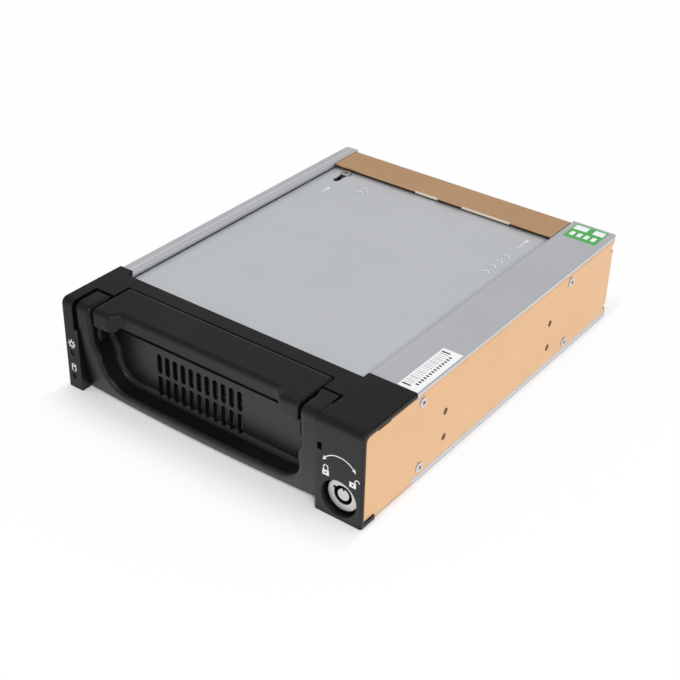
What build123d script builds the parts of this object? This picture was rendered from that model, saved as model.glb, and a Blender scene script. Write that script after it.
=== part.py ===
from build123d import *
import os

# Lockable drive cage for a 5.25 inch bay: a screwed frame and a tray that slides out of it.
# Millimetres. X runs to the right seen from the front, Y to the rear, Z up.
# The origin lies under the middle of the cage. Depths are counted from the front face.

# Overall sizes
length = 188.5
bezel_width = 147.0
bezel_overhang = 0.5
bezel_height = 41.3
bezel_rise = 1.3
sheet = 1.0
fit_gap = 0.1
slide_gap = 0.3

# Front bezel
bezel_depth = 32.6
bezel_middle_depth = 29.0
bezel_wall = 2.0
bezel_rim = 1.6
bezel_round = 3.0
side_round = 1.0
ear_width = 7.7
ear_block_height = 28.6
ear_post_width = 5.8
ear_wall = 1.2
tab_wall = 1.6
tab_reach = 3.4
lock_block_width = 20.5
lip_depth = 8.4
lip_height = 1.8
left_notch_depth = 14.0
right_notch_depth = 15.2
right_step_depth = 8.5
right_step = 0.7
cross_bar_depth = 16.0
cross_bar_width = 12.0
seam = 0.4
handle_seam = 0.8
peep_inset = 1.6
peep_z = 28.8
peep_width = 2.0
peep_height = 3.0

# Rails and bent sheet
flange = 2.0
rail_wall = 1.6
left_flange = 6.8
right_flange = 21.3
foot_reach = 9.0
rail_end_gap = 0.3
panel_inset = 1.0
shell_front = 1.7
shell_corner = 2.2
bend = 1.6
relief_height = 2.8
relief_depth = 2.8
relief_offset = 2.0
notch_start = 9.0
notch_length = 7.8
notch_drop = 1.1
flange_round = 2.0
strap_depth = 18.0
strap_gap = 0.3
lip_drop = 0.7
strap_lips = [(46.2, 12.0), (71.2, 25.0)]

# Fixing holes of the bay and the screws that hold the sheet to the rails
bay_hole_depth = 53.3
bay_hole_pitch = 79.25
bay_hole_low = 10.0
bay_hole_rise = 11.84
bay_hole_radius = 1.5
screw_depth = 37.1
screw_pitch = 110.8
screw_low = 5.4
screw_drop = 5.2
screw_radius = 1.4
screw_head = 2.2
screw_head_height = 0.45

# Indicator lights
led_inset = 3.9
led_heights = (5.7, 16.9)
led_radius = 1.2
led_flange = 1.7
led_seat = 1.0
led_board_depth = 6.0
board = 1.6

# Key lock
lock_inset = 10.1
lock_z = 9.3
well_radius = 7.8
well_depth = 4.4
well_wall = 1.4
lock_head_radius = 7.0
lock_head = 1.8
barrel_radius = 5.6
barrel_depth = 20.0
keyway_radius = 4.0
keyway_depth = 6.0
post_radius = 2.5
key_notch = 1.6
running = 0.06
nut_across = 12.8
nut_height = 2.6
cam_thick = 1.6
cam_reach = 9.4
cam_nose = 3.0
cam_hub = 4.6
cam_room = 1.0
tail_size = 5.0

# Tray
tray_gap = 0.55
front_gap = 0.4
tray_lift = 0.3
left_column = 6.9
right_column = 7.4
front_foot = 0.8
front_tilt = 4.2
front_lean = 1.5
front_bow = 1.5
front_set = 0.4
front_swing = 10.0
front_back = 13.6
grip_wall = 2.0
left_shoulder = 12.2
right_shoulder = 13.9
shoulder_height = 3.8
pocket_floor = 5.0
pocket_straight = 1.4
pocket_right_share = 0.625
pocket_scoop = 2.4
left_ledge = 3.0
right_ledge = 2.0
ledge_drop = 5.0
ledge_round = 4.0
lip_round = 0.8
edge_round = 1.8
slot_count = 11
slot_pitch = 4.1
slot_width = 2.4
slot_height = 8.8
slot_low = 5.4
slot_rise = 10.2
grille_shift = 5.75
cover_gap = 0.2
cover_sheet = 0.8
cover_front = 24.0
cover_overhang = 5.0
cover_skirt = 9.0
cover_travel = 8.0
post_inset = 8.35
post_setback = 5.5
post_size = 2.4
post_screw = 1.3
tray_screw = 1.0
tray_screw_length = 5.0
tray_screw_low = 9.0
tray_screw_drop = 6.0
drive_hole = 1.8
drive_hole_width = 95.25
drive_hole_length = 44.45
drive_hole_depth = 60.0
catch_length = 10.0
catch_low = 4.0
catch_height = 11.0

# Handle
handle_plate = 2.2
handle_rear = 21.5
handle_skirt = 7.3
cheek_depth = 0.9
cheek_width = 8.7
bar_setback = 5.0
ramp = 3.0
ramp_round = 2.0
grip_round = 2.0
end_round = 1.0
skirt_wall = 2.0
arm_wall = 1.8
pivot_depth = 5.2
pivot_drop = 13.3
pin_radius = 1.25
arm_radius = 2.4
handle_gap = 1.2
pin_seat = 4.0

# Rear electronics
backplane_inset = 5.2
backplane_low = 4.5
backplane_drop = 6.5
standoff = 5.0
standoff_radius = 2.6
standoff_inset = 3.2
dock_shift = 3.0
dock_width = 30.0
dock_height = 10.0
tongue_width = 25.0
tongue_height = 5.6
tongue_length = 4.5
plug_step = 1.5
socket_floor = 1.1
mating_gap = 0.4
data_inset = 9.0
data_width = 15.0
data_height = 8.6
power_inset = 12.5
power_width = 22.0
power_height = 9.6
port_wall = 1.2
port_overhang = 0.6
power_pitch = 5.08
power_pin = 1.05
drive_socket_width = 34.0
drive_socket_height = 7.0
drive_socket_depth = 4.4

# Cooling fan
fan_floor = 1.7
fan_headroom = 0.5
fan_side_gap = 0.6
fan_board_gap = 2.1
fan_depth = 10.0
fan_wall = 1.3
fan_hole_inset = 3.0
fan_hole_radius = 1.4
hub_radius = 8.0
blade_count = 7
blade_gap = 0.6
blade_thick = 1.1
blade_slant = 35.0
blade_chord = 7.0
shaft_radius = 1.0
strut_width = 2.4
strut_thick = 1.6
vent_radius = 2.1
vent_pitch = 5.6

# Places worked out from the sizes
half_bezel = bezel_width / 2
half_frame = half_bezel - bezel_overhang
rail_height = bezel_height - bezel_rise
panel_depth = length - panel_inset
inner_frame = half_frame - sheet
rail_face = inner_frame - fit_gap
web_inner = rail_face - rail_wall
bay_left = -half_frame + left_flange
bay_right = half_frame - right_flange
guide_right = bay_right + rail_wall
ear_right = -half_bezel + ear_width
lock_left = half_bezel - lock_block_width
front_left = ear_right + front_gap
front_right = lock_left - front_gap
pocket_left = front_left + left_column
pocket_right = front_right - right_column
handle_left = pocket_left + handle_gap
handle_right = pocket_right - handle_gap
window_left = handle_left - handle_seam
window_right = handle_right + handle_seam
front_middle = (front_left + front_right) / 2
bow_radius = (((front_right - front_left) / 2) ** 2 + front_bow ** 2) / (2 * front_bow)
pivot_z = bezel_height - pivot_drop
ledge_top = pivot_z - arm_radius - handle_gap
pocket_rise = ledge_top - ledge_drop - pocket_floor
pocket_left_round = pocket_rise - pocket_straight
pocket_right_round = pocket_rise * pocket_right_share
tray_left = bay_left + tray_gap
tray_right = bay_right - tray_gap
pan_left = tray_left + cover_sheet + fit_gap
pan_right = tray_right - cover_sheet - fit_gap
tray_floor = flange + tray_lift
cover_top = rail_height - sheet - lip_drop - strap_gap
pan_top = cover_top - cover_sheet - cover_gap
bezel_under = bezel_height - bezel_wall
rail_web_end = panel_depth - sheet - rail_end_gap
strap_front = panel_depth - strap_depth
board_rear = panel_depth - sheet - standoff
board_front = board_rear - board
cam_depth = well_depth + barrel_depth
column_top = bezel_height - shoulder_height
peep_x = lock_left + peep_inset
led_x = led_inset - half_bezel
lock_x = half_bezel - lock_inset
screw_rise = rail_height - screw_low - screw_drop
grille_x = (pocket_left + pocket_right) / 2 - grille_shift
slot_rows = (pocket_floor + slot_low, pocket_floor + slot_low + slot_rise)
socket_front = board_front - tongue_length - mating_gap - socket_floor
tray_end = socket_front - mating_gap - plug_step
cover_rear = tray_end + cover_overhang
cover_under = cover_top - cover_sheet
post_x = tray_left + post_inset
post_depth = tray_end - post_setback
fan_size = cover_under - fan_headroom - fan_floor
fan_x = bay_right - foot_reach - fan_side_gap - fan_size / 2
fan_z = fan_floor + fan_size / 2
fan_bore = fan_size / 2 - fan_wall
fan_hole_pitch = fan_size - 2 * fan_hole_inset
blade_reach = fan_bore - blade_gap
backplane_left = bay_left + backplane_inset
backplane_right = fan_x - fan_size / 2 - fan_board_gap
backplane_width = backplane_right - backplane_left
backplane_x = (backplane_left + backplane_right) / 2
backplane_height = rail_height - backplane_low - backplane_drop
dock_x = backplane_x + dock_shift
dock_z = backplane_low + backplane_height / 2
data_x = backplane_left + data_inset
power_x = backplane_right - power_inset


def back(depth):
    # Y of a depth behind the front face
    return depth - length / 2


def facing(depth):
    # A plane seen from the front: sketch x is X and sketch y is Z
    return Plane.XZ.offset(-back(depth))


def rect(x0, x1, y0, y1, mode=Mode.ADD):
    # A rectangle between two corners of the sketch
    with Locations(((x0 + x1) / 2, (y0 + y1) / 2)):
        Rectangle(x1 - x0, y1 - y0, mode=mode)


def bay_holes():
    # The four fixing holes of one side, in a sketch seen from the right
    rows = (bay_hole_low, bay_hole_low + bay_hole_rise)
    return [(back(d), z) for d in (bay_hole_depth, bay_hole_depth + bay_hole_pitch) for z in rows]


def screw_places():
    # The four sheet screws of one side, in a sketch seen from the right
    rows = (screw_low, screw_low + screw_rise)
    return [(back(d), z) for d in (screw_depth, screw_depth + screw_pitch) for z in rows]


def fan_holes():
    # The four corner holes of the fan, seen from the front
    half = fan_hole_pitch / 2
    return [(fan_x + i * half, fan_z + j * half) for i in (-1, 1) for j in (-1, 1)]


def standoff_places():
    # Corner spacers of the backplane, seen from the front
    half_x = backplane_width / 2 - standoff_inset
    mid_z = backplane_low + backplane_height / 2
    half_z = backplane_height / 2 - standoff_inset
    return [(backplane_x + i * half_x, mid_z + j * half_z) for i in (-1, 1) for j in (-1, 1)]


def tray_screw_places():
    # Screws that hold the tray front to the pan, one pair in each column
    left = pan_left + sheet + 2 * tray_screw
    right = pan_right - sheet - 2 * tray_screw
    rows = (tray_screw_low, pan_top - tray_screw_drop)
    return [(x, z) for x in (left, right) for z in rows]


def save(piece, name):
    # Labels a finished piece and writes it
    piece.part.label = name
    export_step(piece.part, f"parts/{name}.step")


os.makedirs("parts", exist_ok=True)


# Bent sheet: both sides, the rear panel and the strap over the tray's rear end
with BuildPart() as chassis_shell:
    with BuildSketch(Plane.XY):
        rect(-half_frame, half_frame, back(shell_front), back(panel_depth))
        rect(-inner_frame, inner_frame, back(-1), back(panel_depth - sheet), mode=Mode.SUBTRACT)
    extrude(amount=bezel_under - fit_gap)
    fillet(chassis_shell.edges().filter_by(Axis.Z).group_by(Axis.Y)[-1], bend)
    top_corners = chassis_shell.edges().filter_by(Axis.X).group_by(Axis.Y)[0].group_by(Axis.Z)[-1]
    fillet(top_corners, shell_corner)
    # The flanges of the rails and the lip of the bezel cover the edges
    with BuildSketch(Plane.YZ):
        rect(back(bezel_depth - fit_gap), back(length), -1, flange + fit_gap)
        rect(back(bezel_depth - fit_gap), back(length), rail_height - flange - fit_gap, bezel_height)
        rect(back(-1), back(lip_depth + fit_gap), -1, lip_height + fit_gap)
        rect(back(notch_start), back(notch_start + notch_length), bezel_under - notch_drop, bezel_height)
    extrude(amount=half_frame + 1, both=True, mode=Mode.SUBTRACT)
    # Reliefs beside the rear bends
    for x in (-half_frame - 1, inner_frame - bend):
        with BuildSketch(Plane.YZ.offset(x)):
            for low in (flange + relief_offset, rail_height - flange - relief_offset - relief_height):
                rect(back(panel_depth - relief_depth), back(length), low, low + relief_height)
        extrude(amount=sheet + bend + 1, mode=Mode.SUBTRACT)
    # Strap folded forward from the rear panel, with two lips at its front edge
    with BuildSketch(Plane.YZ.offset(bay_left + seam)):
        rect(back(strap_front), back(panel_depth), rail_height - sheet, rail_height)
        rect(back(panel_depth - sheet), back(panel_depth), rail_height / 2, rail_height)
    extrude(amount=bay_right - bay_left - 2 * seam)
    fillet(chassis_shell.edges().filter_by(Axis.X).group_by(Axis.Z)[-1].sort_by(Axis.Y)[-1], bend)
    with BuildSketch(facing(strap_front)):
        for start, width in strap_lips:
            left = bay_left + start
            rect(left, left + width, rail_height - sheet - lip_drop, rail_height - sheet)
    extrude(amount=-sheet)
    # Fixing holes in both sides
    with BuildSketch(Plane.YZ):
        with Locations(*bay_holes()):
            Circle(bay_hole_radius)
        with Locations(*screw_places()):
            Circle(screw_radius + fit_gap)
    extrude(amount=half_frame + 1, both=True, mode=Mode.SUBTRACT)
    # Windows for the ports and the fan's vent in the rear panel
    with BuildSketch(facing(panel_depth - 2 * sheet)):
        with Locations((data_x, dock_z)):
            Rectangle(data_width + 2 * slide_gap, data_height + 2 * slide_gap)
        with Locations((power_x, dock_z)):
            Rectangle(power_width + 2 * slide_gap, power_height + 2 * slide_gap)
        with Locations((fan_x, fan_z)):
            Circle(vent_radius)
            for ring in (1, 2):
                with PolarLocations(ring * vent_pitch, 6 * ring):
                    Circle(vent_radius)
        with Locations(*fan_holes()):
            Circle(fan_hole_radius)
    extrude(amount=-3 * sheet, mode=Mode.SUBTRACT)
save(chassis_shell, "chassis_shell")


# Left rail: a channel whose flanges cover the edges of the sheet
with BuildPart() as left_rail:
    with BuildSketch(facing(bezel_depth)):
        rect(-half_frame, bay_left, rail_height - flange, rail_height)
        rect(-rail_face, -web_inner, 0, rail_height)
        rect(-half_frame, bay_left + foot_reach, 0, flange)
    extrude(amount=bezel_depth - length)
    with BuildSketch(facing(rail_web_end)):
        rect(-half_frame - 1, bay_left, flange, rail_height - flange)
    extrude(amount=-length, mode=Mode.SUBTRACT)
    with BuildSketch(Plane.YZ.offset(-half_frame)):
        with Locations(*bay_holes(), *screw_places()):
            Circle(bay_hole_radius)
    extrude(amount=left_flange, mode=Mode.SUBTRACT)
    fillet(left_rail.edges().filter_by(Axis.Z).group_by(Axis.X)[0].group_by(Axis.Y)[-1], flange_round)
save(left_rail, "left_rail")


# Right rail: a box section, with an inner wall that guides the tray
with BuildPart() as right_rail:
    with BuildSketch(facing(bezel_depth)):
        rect(bay_right, half_frame, rail_height - flange, rail_height)
        rect(web_inner, rail_face, 0, rail_height)
        rect(bay_right, guide_right, 0, rail_height)
        rect(bay_right - foot_reach, half_frame, 0, flange)
    extrude(amount=bezel_depth - length)
    with BuildSketch(facing(rail_web_end)):
        rect(bay_right - 1, half_frame + 1, flange, rail_height - flange)
    extrude(amount=-length, mode=Mode.SUBTRACT)
    with BuildSketch(Plane.YZ.offset(web_inner - rail_wall)):
        with Locations(*bay_holes(), *screw_places()):
            Circle(bay_hole_radius)
    extrude(amount=left_flange, mode=Mode.SUBTRACT)
    fillet(right_rail.edges().filter_by(Axis.Z).group_by(Axis.X)[-1].group_by(Axis.Y)[-1], flange_round)
save(right_rail, "right_rail")


# Front bezel: ear with the lights, top bar with the handle's window, and lock block
with BuildPart() as front_bezel:
    with BuildSketch(facing(0)):
        rect(-half_bezel, half_bezel, 0, bezel_height)
    extrude(amount=-bezel_depth)
    fillet(front_bezel.edges().filter_by(Axis.X).group_by(Axis.Y)[0].sort_by(Axis.Z)[-1], bezel_round)
    for end in (0, -1):
        side = front_bezel.faces().filter_by(Axis.X).sort_by(Axis.X)[end]
        inside = side.edges().filter_by(lambda e: e.center().Z > 1)
        fillet(inside.filter_by(lambda e: e.center().Y < back(bezel_depth) - 1), side_round)
    # Hollow of the lock block and the well that holds the lock
    with BuildSketch(facing(bezel_wall)):
        rect(lock_left + bezel_wall, web_inner, lip_height, bezel_under)
    extrude(amount=-bezel_depth, mode=Mode.SUBTRACT)
    with BuildSketch(facing(bezel_wall / 2)):
        with Locations((lock_x, lock_z)):
            Circle(well_radius + well_wall)
    extrude(amount=bezel_wall / 2 - well_depth - well_wall)
    with BuildSketch(facing(0)):
        with Locations((lock_x, lock_z)):
            Circle(well_radius)
    extrude(amount=-well_depth, mode=Mode.SUBTRACT)
    with BuildSketch(facing(0)):
        with Locations((lock_x, lock_z)):
            Circle(barrel_radius + fit_gap)
    extrude(amount=-well_depth - 2 * well_wall, mode=Mode.SUBTRACT)
    # Recess for the sheet on both sides, above the bottom lip
    for x, way in ((-rail_face, -1), (rail_face, 1)):
        with BuildSketch(Plane.YZ.offset(x)) as recess:
            with BuildLine():
                Polyline(
                    (back(bezel_rim), bezel_under),
                    (back(bezel_rim), lip_height),
                    (back(lip_depth), lip_height),
                    (back(lip_depth), -1),
                    (back(bezel_depth + 1), -1),
                    (back(bezel_depth + 1), bezel_under),
                    close=True,
                )
            make_face()
            fillet(recess.vertices().group_by(Axis.X)[0].sort_by(Axis.Y)[-1], shell_corner)
        extrude(amount=way * sheet * 3, mode=Mode.SUBTRACT)
    # Way for the tray, and the stepped window in the top
    with BuildSketch(facing(-1)):
        rect(ear_right, lock_left, -1, bezel_under)
    extrude(amount=-bezel_depth - 2, mode=Mode.SUBTRACT)
    with BuildSketch(Plane.XY.offset(bezel_under - 1)):
        rect(ear_right, lock_left, back(-1), back(left_notch_depth))
        rect(window_left, lock_left + right_step, back(right_step_depth), back(right_notch_depth))
        rect(window_left, window_right, back(-1), back(handle_rear + handle_seam))
        rect(bay_left, bay_right + seam, back(bezel_middle_depth), back(bezel_depth + 1))
    extrude(amount=bezel_wall + 2, mode=Mode.SUBTRACT)
    # The ear is narrower above its block, and hollow behind the lights
    with BuildSketch(facing(-1)):
        rect(ear_post_width - half_bezel, ear_right + 1, ear_block_height, bezel_height + 1)
    extrude(amount=-left_notch_depth - 1, mode=Mode.SUBTRACT)
    with BuildSketch(facing(bezel_wall)):
        rect(-half_frame, ear_right - ear_wall, ear_wall, ear_block_height - ear_wall)
    extrude(amount=bezel_wall - left_notch_depth, mode=Mode.SUBTRACT)
    with BuildSketch(facing(left_notch_depth)):
        rect(-web_inner, ear_right + 1, -1, bezel_under)
    extrude(amount=-bezel_depth, mode=Mode.SUBTRACT)
    # Light holes, peep hole and the slot that the lock's cam swings through
    with BuildSketch(facing(-1)):
        with Locations(*[(led_x, z) for z in led_heights]):
            Circle(led_radius + fit_gap)
        with Locations((peep_x, peep_z)):
            Rectangle(peep_width, peep_height)
    extrude(amount=-2 * bezel_wall, mode=Mode.SUBTRACT)
    with BuildSketch(Plane.YZ.offset(lock_left - 1)):
        low = lock_z - cam_nose - cam_room
        high = lock_z + cam_reach + cam_nose + cam_room
        rect(back(cam_depth - cam_room), back(bezel_depth + 1), low, high)
    extrude(amount=bezel_wall + 2, mode=Mode.SUBTRACT)
    # Cross bar under the tray
    with BuildSketch(Plane.XY):
        rect(-rail_face, lock_left + 1, back(cross_bar_depth), back(cross_bar_depth + cross_bar_width))
    extrude(amount=lip_height)
    # Tabs that the front screws hold behind the rails
    for x in (-web_inner + fit_gap, web_inner - fit_gap - tab_wall):
        with BuildSketch(Plane.YZ.offset(x)):
            tab_root = back(bezel_depth - tab_wall * 2)
            rect(tab_root, back(screw_depth + tab_reach), screw_low - tab_reach, screw_low + screw_rise + 2)
            with Locations(*screw_places()[:2]):
                Circle(screw_radius + fit_gap, mode=Mode.SUBTRACT)
        extrude(amount=tab_wall)
    for x in (-web_inner, web_inner - tab_wall):
        with BuildSketch(Plane.YZ.offset(x)):
            root_low = screw_low - tab_reach
            rect(back(bezel_depth - tab_wall * 2), back(bezel_depth), root_low, screw_low + screw_rise + 2)
        extrude(amount=tab_wall)
save(front_bezel, "front_bezel")


# Screws through the sheet, the rails and the bezel's tabs
with BuildPart() as rail_screws:
    for side in (-1, 1):
        with BuildSketch(Plane.YZ.offset(side * half_frame)):
            with Locations(*screw_places()):
                Circle(screw_head)
        extrude(amount=side * screw_head_height)
        with BuildSketch(Plane.YZ.offset(side * half_frame)):
            with Locations(*screw_places()):
                Circle(screw_radius)
        extrude(amount=side * (web_inner - tab_wall - half_frame))
save(rail_screws, "rail_screws")


# Indicator lenses and the little board behind them
with BuildPart() as led_lenses:
    places = [(led_x, z) for z in led_heights]
    with BuildSketch(facing(slide_gap)):
        with Locations(*places):
            Circle(led_radius)
    extrude(amount=slide_gap - bezel_wall)
    with BuildSketch(facing(bezel_wall)):
        with Locations(*places):
            Circle(led_flange)
    extrude(amount=-led_seat)
save(led_lenses, "led_lenses")

with BuildPart() as led_board:
    with BuildSketch(facing(led_board_depth)):
        rect(-rail_face, ear_right - ear_wall, ear_wall + 1, ear_block_height - ear_wall - 1)
    extrude(amount=-board)
    with BuildSketch(facing(bezel_wall + led_seat)):
        with Locations(*[(led_x, z) for z in led_heights]):
            Circle(led_radius + fit_gap)
    extrude(amount=bezel_wall + led_seat - led_board_depth)
save(led_board, "led_board")


# Key lock: body, nut, turning plug, cam and its screw
lock_face = well_depth - lock_head
drum_front = lock_face + keyway_depth
with BuildPart() as lock_body:
    with BuildSketch(facing(lock_face)):
        with Locations((lock_x, lock_z)):
            Circle(lock_head_radius)
    extrude(amount=-lock_head)
    chamfer(lock_body.edges().group_by(Axis.Y)[0], lock_head / 4)
    with BuildSketch(facing(well_depth)):
        with Locations((lock_x, lock_z)):
            Circle(barrel_radius)
    extrude(amount=slide_gap - barrel_depth)
    with BuildSketch(facing(lock_face)):
        with Locations((lock_x, lock_z)):
            Circle(keyway_radius)
    extrude(amount=-length / 2, mode=Mode.SUBTRACT)
    with BuildSketch(facing(lock_face)):
        with Locations((lock_x, lock_z)):
            with PolarLocations(keyway_radius, 1, start_angle=150):
                Rectangle(key_notch, key_notch)
    extrude(amount=-keyway_depth, mode=Mode.SUBTRACT)
save(lock_body, "lock_body")

with BuildPart() as lock_nut:
    with BuildSketch(facing(well_depth + well_wall)):
        with Locations((lock_x, lock_z)):
            RegularPolygon(nut_across / 2, 6, major_radius=False, rotation=30)
            Circle(barrel_radius + fit_gap / 2, mode=Mode.SUBTRACT)
    extrude(amount=-nut_height)
save(lock_nut, "lock_nut")

with BuildPart() as lock_plug:
    with BuildSketch(facing(lock_face + slide_gap)):
        with Locations((lock_x, lock_z)):
            Circle(post_radius)
        with Locations((lock_x, lock_z + post_radius)):
            Rectangle(key_notch / 2, key_notch, mode=Mode.SUBTRACT)
    extrude(amount=slide_gap - keyway_depth)
    with BuildSketch(facing(drum_front)):
        with Locations((lock_x, lock_z)):
            Circle(keyway_radius - running)
    extrude(amount=drum_front - cam_depth)
    with BuildSketch(facing(cam_depth)):
        with Locations((lock_x, lock_z)):
            Rectangle(tail_size, tail_size)
    extrude(amount=-cam_thick)
    with BuildSketch(facing(cam_depth - tail_size)):
        with Locations((lock_x, lock_z)):
            Circle(screw_radius)
    extrude(amount=-length / 2, mode=Mode.SUBTRACT)
save(lock_plug, "lock_plug")

with BuildPart() as lock_cam:
    with BuildSketch(facing(cam_depth)):
        with Locations((lock_x, lock_z)):
            Circle(cam_hub)
        rect(lock_x - cam_nose, lock_x + cam_nose, lock_z, lock_z + cam_reach)
        with Locations((lock_x, lock_z + cam_reach)):
            Circle(cam_nose)
        with Locations((lock_x, lock_z)):
            Rectangle(tail_size, tail_size, mode=Mode.SUBTRACT)
    extrude(amount=-cam_thick)
save(lock_cam, "lock_cam")

with BuildPart() as cam_screw:
    with BuildSketch(facing(cam_depth + cam_thick)):
        with Locations((lock_x, lock_z)):
            Circle(cam_hub - 1)
    extrude(amount=-cam_thick)
    with BuildSketch(facing(cam_depth + cam_thick)):
        with Locations((lock_x, lock_z)):
            Circle(screw_radius - running)
    extrude(amount=cam_thick + tail_size / 2)
save(cam_screw, "cam_screw")


# Backplane on its spacers, with the docking socket in front and the ports behind
with BuildPart() as backplane_board:
    with BuildSketch(facing(board_front)):
        with Locations((backplane_x, backplane_low + backplane_height / 2)):
            Rectangle(backplane_width, backplane_height)
        with Locations(*standoff_places()):
            Circle(screw_radius + fit_gap, mode=Mode.SUBTRACT)
    extrude(amount=-board)
save(backplane_board, "backplane_board")

with BuildPart() as board_standoffs:
    with BuildSketch(facing(board_rear)):
        with Locations(*standoff_places()):
            Circle(standoff_radius)
            Circle(screw_radius, mode=Mode.SUBTRACT)
    extrude(amount=-standoff)
save(board_standoffs, "board_standoffs")

with BuildPart() as board_screws:
    with BuildSketch(facing(board_front)):
        with Locations(*standoff_places()):
            Circle(screw_head)
    extrude(amount=board)
    with BuildSketch(facing(board_front)):
        with Locations(*standoff_places()):
            Circle(screw_radius - running)
    extrude(amount=-board - standoff / 2)
save(board_screws, "board_screws")

with BuildPart() as dock_socket:
    with BuildSketch(facing(socket_front)):
        with Locations((dock_x, dock_z)):
            Rectangle(dock_width, dock_height)
    extrude(amount=socket_front - board_front)
    with BuildSketch(facing(socket_front)):
        with Locations((dock_x, dock_z)):
            Rectangle(tongue_width + 2 * mating_gap, tongue_height + 2 * mating_gap)
    extrude(amount=-tongue_length - mating_gap, mode=Mode.SUBTRACT)
save(dock_socket, "dock_socket")

port_end = panel_depth + port_overhang
with BuildPart() as data_port:
    with BuildSketch(facing(board_rear)):
        with Locations((data_x, dock_z)):
            Rectangle(data_width, data_height)
    extrude(amount=board_rear - port_end)
    with BuildSketch(facing(board_rear + port_wall)):
        with Locations((data_x, dock_z)):
            Rectangle(data_width - 2 * port_wall, data_height - 2 * port_wall)
            Rectangle(data_width - 6 * port_wall, port_wall, mode=Mode.SUBTRACT)
    extrude(amount=-length / 2, mode=Mode.SUBTRACT)
save(data_port, "data_port")

with BuildPart() as power_socket:
    with BuildSketch(facing(board_rear)):
        with Locations((power_x, dock_z)):
            Rectangle(power_width, power_height)
    extrude(amount=board_rear - port_end)
    with BuildSketch(facing(board_rear + port_wall)) as shroud:
        with Locations((power_x, dock_z)):
            Rectangle(power_width - 2 * port_wall, power_height - 2 * port_wall)
        chamfer(shroud.vertices().group_by(Axis.Y)[-1], port_wall)
        with Locations((power_x, dock_z)):
            with GridLocations(power_pitch, 1, 4, 1):
                Circle(power_pin, mode=Mode.SUBTRACT)
    extrude(amount=-length / 2, mode=Mode.SUBTRACT)
save(power_socket, "power_socket")


# Cooling fan against the rear panel
fan_rear = panel_depth - sheet
fan_front = fan_rear - fan_depth
with BuildPart() as fan_housing:
    with BuildSketch(facing(fan_front)):
        with Locations((fan_x, fan_z)):
            RectangleRounded(fan_size, fan_size, fan_hole_radius * 2)
            Circle(fan_bore, mode=Mode.SUBTRACT)
        with Locations(*fan_holes()):
            Circle(fan_hole_radius, mode=Mode.SUBTRACT)
    extrude(amount=-fan_depth)
    with BuildSketch(facing(fan_rear - strut_thick)):
        with Locations((fan_x, fan_z)):
            Circle(hub_radius)
            with PolarLocations((hub_radius + fan_bore) / 2, 3, start_angle=30):
                Rectangle(fan_bore - hub_radius + strut_thick, strut_width)
    extrude(amount=-strut_thick)
    with BuildSketch(facing(fan_rear - fan_depth / 2)):
        with Locations((fan_x, fan_z)):
            Circle(shaft_radius * 2.6)
    extrude(amount=-fan_depth / 2)
    with BuildSketch(facing(fan_front)):
        with Locations((fan_x, fan_z)):
            Circle(shaft_radius + running)
    extrude(amount=strut_thick / 2 - fan_depth, mode=Mode.SUBTRACT)
save(fan_housing, "fan_housing")

rotor_front = fan_front + slide_gap
rotor_rear = fan_rear - strut_thick - 2 * slide_gap
with BuildPart() as fan_rotor:
    with BuildSketch(facing(rotor_front)):
        with Locations((fan_x, fan_z)):
            Circle(hub_radius)
    extrude(amount=rotor_front - rotor_rear)
    with BuildSketch(facing(rotor_front + strut_thick)):
        with Locations((fan_x, fan_z)):
            Circle(hub_radius - strut_thick / 2)
            Circle(shaft_radius, mode=Mode.SUBTRACT)
    extrude(amount=-fan_depth, mode=Mode.SUBTRACT)
    with BuildSketch(facing(rotor_front + strut_thick)):
        with Locations((fan_x, fan_z)):
            Circle(shaft_radius)
    extrude(amount=strut_thick * 2 - fan_depth + slide_gap)
    rotor_middle = Vector(fan_x, back((rotor_front + rotor_rear) / 2), fan_z)
    for i in range(blade_count):
        outward = Vector(1, 0, 0).rotate(Axis.Y, 360 * i / blade_count)
        start = rotor_middle + outward * (hub_radius - strut_thick / 4)
        with BuildSketch(Plane(start, x_dir=(0, 1, 0), z_dir=outward)):
            Rectangle(blade_chord, blade_thick, rotation=blade_slant)
        extrude(amount=blade_reach - hub_radius)
save(fan_rotor, "fan_rotor")

with BuildPart() as fan_screws:
    with BuildSketch(facing(panel_depth)):
        with Locations(*fan_holes()):
            Circle(fan_hole_radius * 1.8)
    extrude(amount=-port_overhang)
    with BuildSketch(facing(panel_depth)):
        with Locations(*fan_holes()):
            Circle(fan_hole_radius - running)
    extrude(amount=sheet + fan_depth * 0.7)
save(fan_screws, "fan_screws")


# Tray pan, folded from sheet
with BuildPart() as tray_pan:
    with BuildSketch(facing(front_back)):
        rect(pan_left, pan_right, tray_floor, pan_top)
    extrude(amount=front_back - tray_end)
    with BuildSketch(facing(front_back + sheet)):
        rect(pan_left + sheet, pan_right - sheet, tray_floor + sheet, pan_top + 1)
    extrude(amount=front_back + 2 * sheet - tray_end, mode=Mode.SUBTRACT)
    # Air opening behind the grille, screw holes, and the window for the docking plug
    with BuildSketch(facing(front_back - 1)):
        grille_half = slot_count * slot_pitch / 2
        rect(grille_x - grille_half, grille_x + grille_half, pocket_floor, slot_rows[1] + slot_height / 2)
        with Locations(*tray_screw_places()):
            Circle(tray_screw + fit_gap)
    extrude(amount=-sheet - 2, mode=Mode.SUBTRACT)
    with BuildSketch(facing(tray_end - 2 * sheet)):
        with Locations((dock_x, dock_z)):
            Rectangle(dock_width + 2 * slide_gap, dock_height + 2 * slide_gap)
    extrude(amount=-3 * sheet, mode=Mode.SUBTRACT)
    # Holes in the floor for the drive's screws
    with BuildSketch(Plane.XY.offset(tray_floor - 1)):
        with Locations(((pan_left + pan_right) / 2, back(drive_hole_depth + drive_hole_length / 2))):
            with GridLocations(drive_hole_width, drive_hole_length, 2, 2):
                Circle(drive_hole)
    extrude(amount=sheet + 2, mode=Mode.SUBTRACT)
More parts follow.
